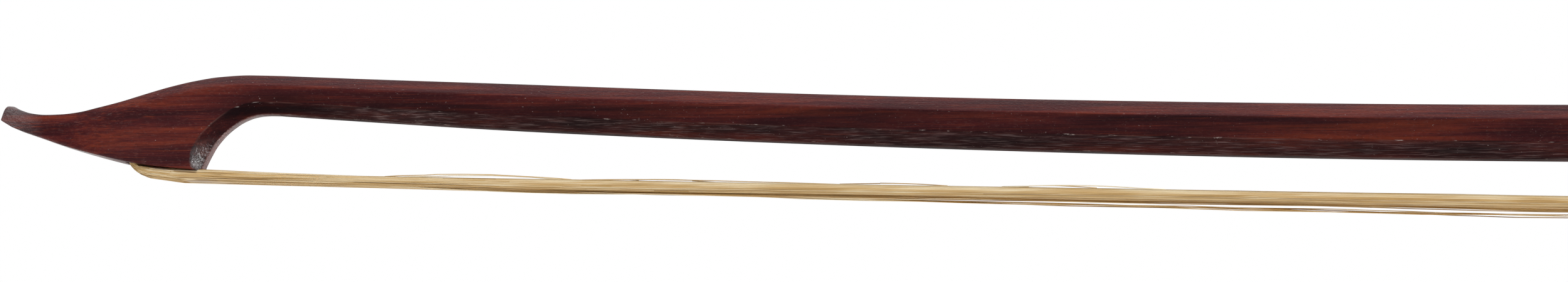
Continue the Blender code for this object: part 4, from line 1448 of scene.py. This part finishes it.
    def slack_hairs(self, line: list[RibbonPlace]) -> Piece:
        """The slack hairs that have left the ribbon, over and under it.

        Args:
            line: the ribbon's middle line.

        Returns:
            All of them as one piece.
        """
        chance = random.Random(self.seed + 1)
        shape = bmesh.new()
        shape.verts.layers.float.new("tone")
        folds = len(self.fold_in) + len(self.head_fold)
        free = line[(folds - 1) * self.steps_per_key:]
        for lock in SLACK_LOCKS:
            for _ in range(lock.count):
                low = lock.first + chance.uniform(-self.slack_front_jitter, self.slack_front_jitter)
                high = lock.last + chance.uniform(-self.slack_back_jitter, self.slack_back_jitter)
                stand_off = lock.stand_off + chance.uniform(-1, 1) * lock.spread
                y = lock.side + chance.uniform(-self.slack_side_jitter, self.slack_side_jitter)
                wave, phase = chance.uniform(*self.slack_waves), chance.uniform(*self.phases)
                fewest, most = self.slack_rings
                count = min(max(fewest, round((high - low) / self.slack_ring_spacing)), most)
                path = []
                for i in range(count + 1):
                    share = i / count
                    x = low + (high - low) * share - BOW.overall_length / 2
                    place = min(free, key=lambda other: abs(other.centre.x - x))
                    edge = place.thickness / 2 - self.hair_radius
                    bow = math.sin(math.pi * share) ** lock.power * abs(stand_off)
                    bow *= 1.0 + self.slack_wave_share * math.sin(x / wave * 2 * math.pi + phase)
                    off = math.copysign(edge + bow, lock.stand_off)
                    path.append(place.centre + Vector((0, y, off)))
                tone = clamped(chance.gauss(*self.slack_tone))
                self.add_hair(shape, self.template(count + 1), path, tone)
        return finish_mesh("hair_slack_strands", shape, ALL_SMOOTH)

    def build(self) -> None:
        """Makes and dresses the bundle's heart, its hairs and the slack ones."""
        line = self.middle_line()
        pieces = [self.heart(line), self.comb(line), self.slack_hairs(line)]
        replaced = (
            ("hair_ribbon",), ("hair_ribbon",),
            tuple(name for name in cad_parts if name.startswith("loose_strand")),
        )
        anchor = HAIR_MOUTH.in_head(HAIR_MOUTH.length, 0, 0)
        tongue = HAIR_MOUTH.in_frog(HAIR_MOUTH.frog_back, 0, 0)
        for piece, finish, nodes in zip(pieces, (SHADED_HAIR_HEART, HAIR, HAIR), replaced):
            dress(piece, finish, None, "horsehair", *nodes)
            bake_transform(piece, Body.STICK.value, Body.FROG.value, start=tuple(anchor), end=tuple(tongue))


@dataclass(frozen=True)
class SlackLock:
    """A few hairs that bow away from the ribbon between two stations: over it, or where negative under."""

    first: float
    last: float
    side: float
    stand_off: float
    spread: float
    count: int
    power: float = 0.7


SLACK_LOCKS = (
    SlackLock(0.058, 0.084, -0.0020, 0.00042, 0.00008, 2, 1.0),
    SlackLock(0.090, 0.118, -0.0021, 0.00038, 0.00008, 2, 1.0),
    SlackLock(0.120, 0.134, -0.0022, 0.00028, 0.00006, 1, 1.0),
    SlackLock(0.150, 0.174, -0.0020, 0.00038, 0.00008, 2, 1.0),
    SlackLock(0.062, 0.106, -0.0010, -0.00022, 0.00014, 5, 0.8),
    SlackLock(0.095, 0.150, 0.0010, -0.00030, 0.00020, 6, 0.8),
    SlackLock(0.078, 0.470, -0.0016, -0.00056, 0.00030, 6, 0.5),
    SlackLock(0.112, 0.560, 0.0017, -0.00100, 0.00030, 5, 0.5),
)


# Frog, screw and button


@dataclass
class Frog:
    """The open frog, with the stick's channel, the eyelet's hole, the hair's mortise and its groove."""

    width: float = 0.0098
    top: float = -0.0026
    base: float = -0.0215
    tongue_thickness: float = 0.0028
    throat_depth: float = 0.0112
    heel_radius: float = 0.0042
    heel_steps: int = 16
    nose_thickness: float = 0.0026
    throat_mouth: float = 0.0042
    throat_fullness: float = 0.8
    throat_steps: int = 40
    edge_radius: float = 0.0004
    edge_steps: int = 3
    edge_degrees: float = 60.0
    eyelet_along: float = 0.019
    eyelet_hole_end: float = -0.0118
    eyelet_hole_radius: float = 0.00165
    groove_half: float = 0.0036
    mouth_overlap: float = 0.0005

    def outline(self) -> Keys:
        """Draws the frog in side view.

        Returns:
            (along, over the axis) points from the tongue round throat, top and heel.
        """
        tongue_top = self.base + self.tongue_thickness
        nose_under = self.top - self.nose_thickness
        middle, reach = (tongue_top + nose_under) / 2, (nose_under - tongue_top) / 2
        mouth, length = self.throat_mouth, BOW.frog_length
        # The tongue's rounded tip and its top
        points = [(0.0009, self.base), (0.0002, self.base + 0.0006), (0.0, self.base + 0.0013)]
        points += [(0.0004, tongue_top - 0.0005), (0.0016, tongue_top), (0.0036, tongue_top + 0.00015)]
        for i in range(1, self.throat_steps):
            angle = math.pi * i / self.throat_steps - math.pi / 2
            deep = mouth + (self.throat_depth - mouth) * math.cos(angle) ** self.throat_fullness
            points.append((deep, middle + reach * math.sin(angle)))
        # The nose, the top under the stick, and the back that leans out a little
        points += [(mouth, nose_under), (0.0036, self.top - 0.0017), (0.0040, self.top - 0.0006)]
        points += [(0.0049, self.top), (length - 0.0012, self.top)]
        points.append((length - 0.0002, (self.top + self.base) / 2))
        heel = (length - self.heel_radius, self.base + self.heel_radius)
        return points + list(arc(heel, self.heel_radius, 0, -90, self.heel_steps))

    def build(self) -> None:
        """Makes and dresses the frog."""
        shape = bmesh.new()
        half = self.width / 2
        points = [BOW.row_point(BOW.tongue_station + x, -half, z) for x, z in self.outline()]
        row = add_loop(shape, points)
        bmesh.ops.contextual_create(shape, geom=edges_of(shape, row))
        side = shape.faces[:]
        moved = bmesh.ops.extrude_face_region(shape, geom=side)["geom"]
        across = [v for v in moved if isinstance(v, bmesh.types.BMVert)]
        bmesh.ops.translate(shape, vec=(0, self.width, 0), verts=across)
        bmesh.ops.recalc_face_normals(shape, faces=shape.faces)
        rims = [e for e in shape.edges if e.calc_face_angle(0.0) > math.radians(self.edge_degrees)]
        bmesh.ops.bevel(
            shape, geom=rims, offset=self.edge_radius, offset_type="OFFSET", affect="EDGES",
            segments=self.edge_steps, profile=0.5, material=-1, clamp_overlap=True,
        )
        frog = finish_mesh("frog_body", shape, FROG_SHARP)
        self.hollow(frog)
        dress(frog, FROG_WOOD, Body.FROG, "frog_wood", "frog")

    def hollow(self, frog: Piece) -> None:
        """Cuts the stick's channel, the eyelet's hole, the hair's groove and its mortise.

        Args:
            frog: the frog's body.
        """
        channel = bmesh.new()
        width = BOW.handle_width + 2 * BOW.clearance
        flat, deep = StickAndHead.flat_share * width, width / 2
        section = (
            (-deep, flat), (-deep, -flat), (-flat, -deep), (flat, -deep), (deep, -flat), (deep, flat)
        )
        ends = [BOW.tongue_station - PAST, BOW.tongue_station + BOW.frog_length + PAST]
        rows = sleeve(channel, [[BOW.row_point(station, y, z) for y, z in section] for station in ends])
        for row in rows:
            bmesh.ops.contextual_create(channel, geom=edges_of(channel, row))

        eyelet = BOW.tongue_station + self.eyelet_along
        hole = rod(
            BOW.row_point(eyelet, 0, self.eyelet_hole_end), BOW.row_point(eyelet, 0, 0.0),
            self.eyelet_hole_radius,
        )
        groove_top = -BOW.hair_drop + BOW.clearance
        back = BOW.tongue_station + HAIR_MOUTH.frog_back
        groove = block(
            BOW.row_point(BOW.tongue_station - PAST, -self.groove_half, self.base - PAST),
            BOW.row_point(back + BOW.clearance, self.groove_half, groove_top),
        )
        mouth = HAIR_MOUTH.mouth_width / 2
        mortise = block(
            BOW.row_point(back - HAIR_MOUTH.length, -mouth, groove_top - self.mouth_overlap),
            BOW.row_point(back, mouth, -BOW.hair_drop + HAIR_MOUTH.roof_over),
            HAIR_MOUTH.roof_width / HAIR_MOUTH.mouth_width,
        )
        cut(frog, [finish_mesh("cutter", channel), hole, groove, mortise], FROG_SHARP)


@dataclass
class Button:
    """The turned button, its bone collar and the bone pip in its end."""

    radius: float = 0.0048
    collar_length: float = 0.0022
    pip_radius: float = 0.0018
    pip_length: float = 0.0014
    pip_hole_depth: float = 0.0016
    bore: float = 0.0017
    tang_half: float = 0.0015
    tang_end: float = 0.0100
    profile_steps: int = 60
    collar_share: float = 0.95
    collar_lip: float = 0.0004
    pip_lip: float = 0.0005
    lip_steps: int = 6
    pip_sides: int = 48

    @property
    def end(self) -> float:
        """Where the button ends, from the stick's end."""
        return BOW.clearance + BOW.button_length

    def wooden_profile(self) -> Keys:
        """Draws the button's profile: a crowned end, a cove and a swelling body.

        Returns:
            (along, radius) points.
        """
        r, end = self.radius, self.end
        start = BOW.clearance + self.collar_length + BOW.clearance
        outer = (
            (start, r * 0.855), (start + 0.0006, r * 0.855), (start + 0.0012, r * 0.81),
            (start + 0.0021, r * 0.88), (start + 0.0036, r * 0.975), (start + 0.0055, r),
            (end - 0.0032, r * 0.965), (end - 0.0020, r * 0.81), (end - 0.0012, r * 0.855),
            (end - 0.0005, r * 0.78), (end - 0.0001, r * 0.60),
        )
        steps = self.profile_steps
        smooth = [start + (outer[-1][0] - start) * i / steps for i in range(1, steps + 1)]
        body = [(x, through(outer, x)) for x in smooth]
        return [(start, 0.0), (start, r * 0.83)] + body + [(end, r * 0.5), (end, 0.0)]

    def build(self) -> None:
        """Makes and dresses the button, the collar and the pip."""
        axle = BOW.row_point(BOW.stick_length, 0, 0)
        button = lathe("button_turned", self.wooden_profile(), axle)
        tang, end = self.tang_half, self.end
        socket = block(axle + Vector((-PAST, -tang, -tang)), axle + Vector((self.tang_end, tang, tang)))
        well = rod(
            axle + Vector((end - self.pip_hole_depth, 0, 0)), axle + Vector((end + PAST, 0, 0)),
            self.pip_radius + BOW.clearance,
        )
        cut(button, [socket, well], TURNED_SHARP)
        dress(button, FROG_WOOD, Body.SCREW, "frog_wood", "button")

        low, high, lip = BOW.clearance, BOW.clearance + self.collar_length, self.collar_lip
        r = self.radius * self.collar_share
        profile = [(high, self.bore), *arc((high - lip, r - lip), lip, 0, 90, self.lip_steps)]
        profile += [*arc((low + lip, r - lip), lip, 90, 180, self.lip_steps), (low, self.bore)]
        collar = lathe("button_collar_turned", profile, axle, closed=True)
        dress(collar, BONE, Body.SCREW, "bone", "button_collar")

        seat, lip = end - self.pip_hole_depth + BOW.clearance, self.pip_lip
        top = seat + self.pip_length
        crown = arc((top - lip, self.pip_radius - lip), lip, 90, 0, self.lip_steps)
        profile = [(seat, 0.0), (seat, self.pip_radius), *crown, (top, 0.0)]
        pip = lathe("button_pip_turned", profile, axle, self.pip_sides)
        dress(pip, BONE, Body.SCREW, "bone", "button_pip")


@dataclass
class HiddenFittings:
    """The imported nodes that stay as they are: plugs, knots, threads, the eyelet and the screw."""

    finishes: dict[str, Finish] = field(
        default_factory=lambda: {
            "head_plug": PLUG_WOOD, "frog_plug": PLUG_WOOD, "head_hair_knot": BURNT,
            "frog_hair_knot": BURNT, "head_knot_thread": THREAD, "frog_knot_thread": THREAD,
            "eyelet": BRASS, "screw": STEEL,
        }
    )

    def build(self) -> None:
        """Dresses each node."""
        for name, finish in self.finishes.items():
            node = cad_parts[name]
            node.data.materials.clear()
            node.data.materials.append(finish.material())
            LOG.info("%s: %s", name, finish.name)


# Studio


@dataclass(frozen=True)
class SoftLamp:
    """A rectangular lamp: the head point that it lights, how far off it stands, its size and power."""

    name: str
    lit: tuple[float, float, float]
    offset: tuple[float, float, float]
    size: tuple[float, float]
    watts: float


# Two softboxes for the broad soft light, and a lamp from the side for the glints in the throat
LAMPS = (
    SoftLamp("overhead_softbox", (0.12, 0, 0.006), (0.1, 0.05, 0.9), (1.8, 1.0), 10.0),
    SoftLamp("front_softbox", (0.12, 0, 0.006), (-0.3, -1.3, 0.9), (1.2, 0.8), 9.0),
    SoftLamp("side_lamp", (0.031, 0, 0.004), (1.5, 0.20, 0.04), (0.62, 0.34), 30.0),
)


@dataclass
class Studio:
    """A plain pale floor, soft lamps, a white surround and the photograph's camera."""

    image_width: int = 2500
    focal_pixels: float = 6475.3
    roll_degrees: float = 1.32
    floor_height: float = -0.10
    floor_half: float = 3.0
    fill: float = 0.45
    eye: tuple[float, float, float] = (0.15586, -0.600, -0.06289)
    looked_at: tuple[float, float, float] = (0.11836, 0.0, 0.00653)
    sensor_mm: float = 36.0
    nearest: float = 0.01

    def camera(self) -> None:
        """Sets the camera where the photograph was taken from."""
        place, target = BOW.head_point(*self.eye), BOW.head_point(*self.looked_at)
        up = (BOW.head_point(0, 0, 0.001) - BOW.head_point(0, 0, 0)).normalized()
        forth = (target - place).normalized()
        right = forth.cross(up).normalized()
        over = right.cross(forth)
        cos, sin = math.cos(math.radians(self.roll_degrees)), math.sin(math.radians(self.roll_degrees))
        right, over = right * cos + over * sin, over * cos - right * sin
        data = bpy.data.cameras.new("camera")
        data.sensor_width = self.sensor_mm
        data.lens = self.focal_pixels / self.image_width * self.sensor_mm
        data.clip_start = self.nearest
        made = linked("camera", data)
        made.matrix_world = Matrix.LocRotScale(place, Matrix((right, over, -forth)).transposed(), None)
        bpy.context.scene.camera = made

    def lamp(self, look: SoftLamp) -> None:
        """Adds a lamp, turned to the place that it lights.

        Args:
            look: the lamp.
        """
        data = bpy.data.lights.new(look.name, "AREA")
        data.shape = "RECTANGLE"
        data.size, data.size_y = look.size
        data.energy = look.watts
        made = linked(look.name, data)
        target = BOW.head_point(*look.lit)
        made.location = target + Vector(look.offset)
        made.rotation_euler = (target - made.location).to_track_quat("-Z", "Y").to_euler()

    def surround(self) -> None:
        """Makes the world white to the eye and in reflections, and a dim fill for everything else."""
        world = bpy.data.worlds.new("surround")
        world.use_nodes = True
        bpy.context.scene.world = world
        tree = world.node_tree
        tree.nodes.clear()
        rays = add_node(tree, "ShaderNodeLightPath").outputs
        seen = rays["Is Camera Ray"]
        for kind in ("Is Glossy Ray", "Is Transmission Ray"):
            seen = add_node(
                tree, "ShaderNodeMath", {"operation": "ADD", "use_clamp": True},
                links={0: seen, 1: rays[kind]},
            ).outputs["Value"]
        fill, white = (
            add_node(tree, "ShaderNodeBackground", values={"Color": linear("#ffffff"), "Strength": strength})
            for strength in (self.fill, 1.0)
        )
        both = add_node(
            tree, "ShaderNodeMixShader",
            links={0: seen, 1: fill.outputs["Background"], 2: white.outputs["Background"]},
        )
        add_node(tree, "ShaderNodeOutputWorld", links={"Surface": both.outputs["Shader"]})

    def floor(self) -> None:
        """Adds the pale floor under the bow."""
        shape = bmesh.new()
        bmesh.ops.create_grid(shape, x_segments=1, y_segments=1, size=self.floor_half)
        bmesh.ops.translate(shape, vec=(0, 0, self.floor_height), verts=shape.verts)
        floor = linked("studio_floor", mesh_of("studio_floor", shape))
        floor.data.materials.append(PAPER.material())

    def build(self) -> None:
        """Sets the whole studio up."""
        bpy.context.scene.view_settings.view_transform = "Standard"
        self.surround()
        self.floor()
        self.camera()
        for look in LAMPS:
            self.lamp(look)
        LOG.info("studio: floor, surround, camera and lamps")


def main() -> None:
    """Builds the studio and dresses the bow, sub-assembly by sub-assembly."""
    logging.basicConfig(level=logging.INFO, format="%(name)s: %(message)s")
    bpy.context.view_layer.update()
    Studio().build()
    StickAndHead().build()
    HairRibbon().build()
    Frog().build()
    Button().build()
    HiddenFittings().build()


if __name__ == "__main__":
    main()
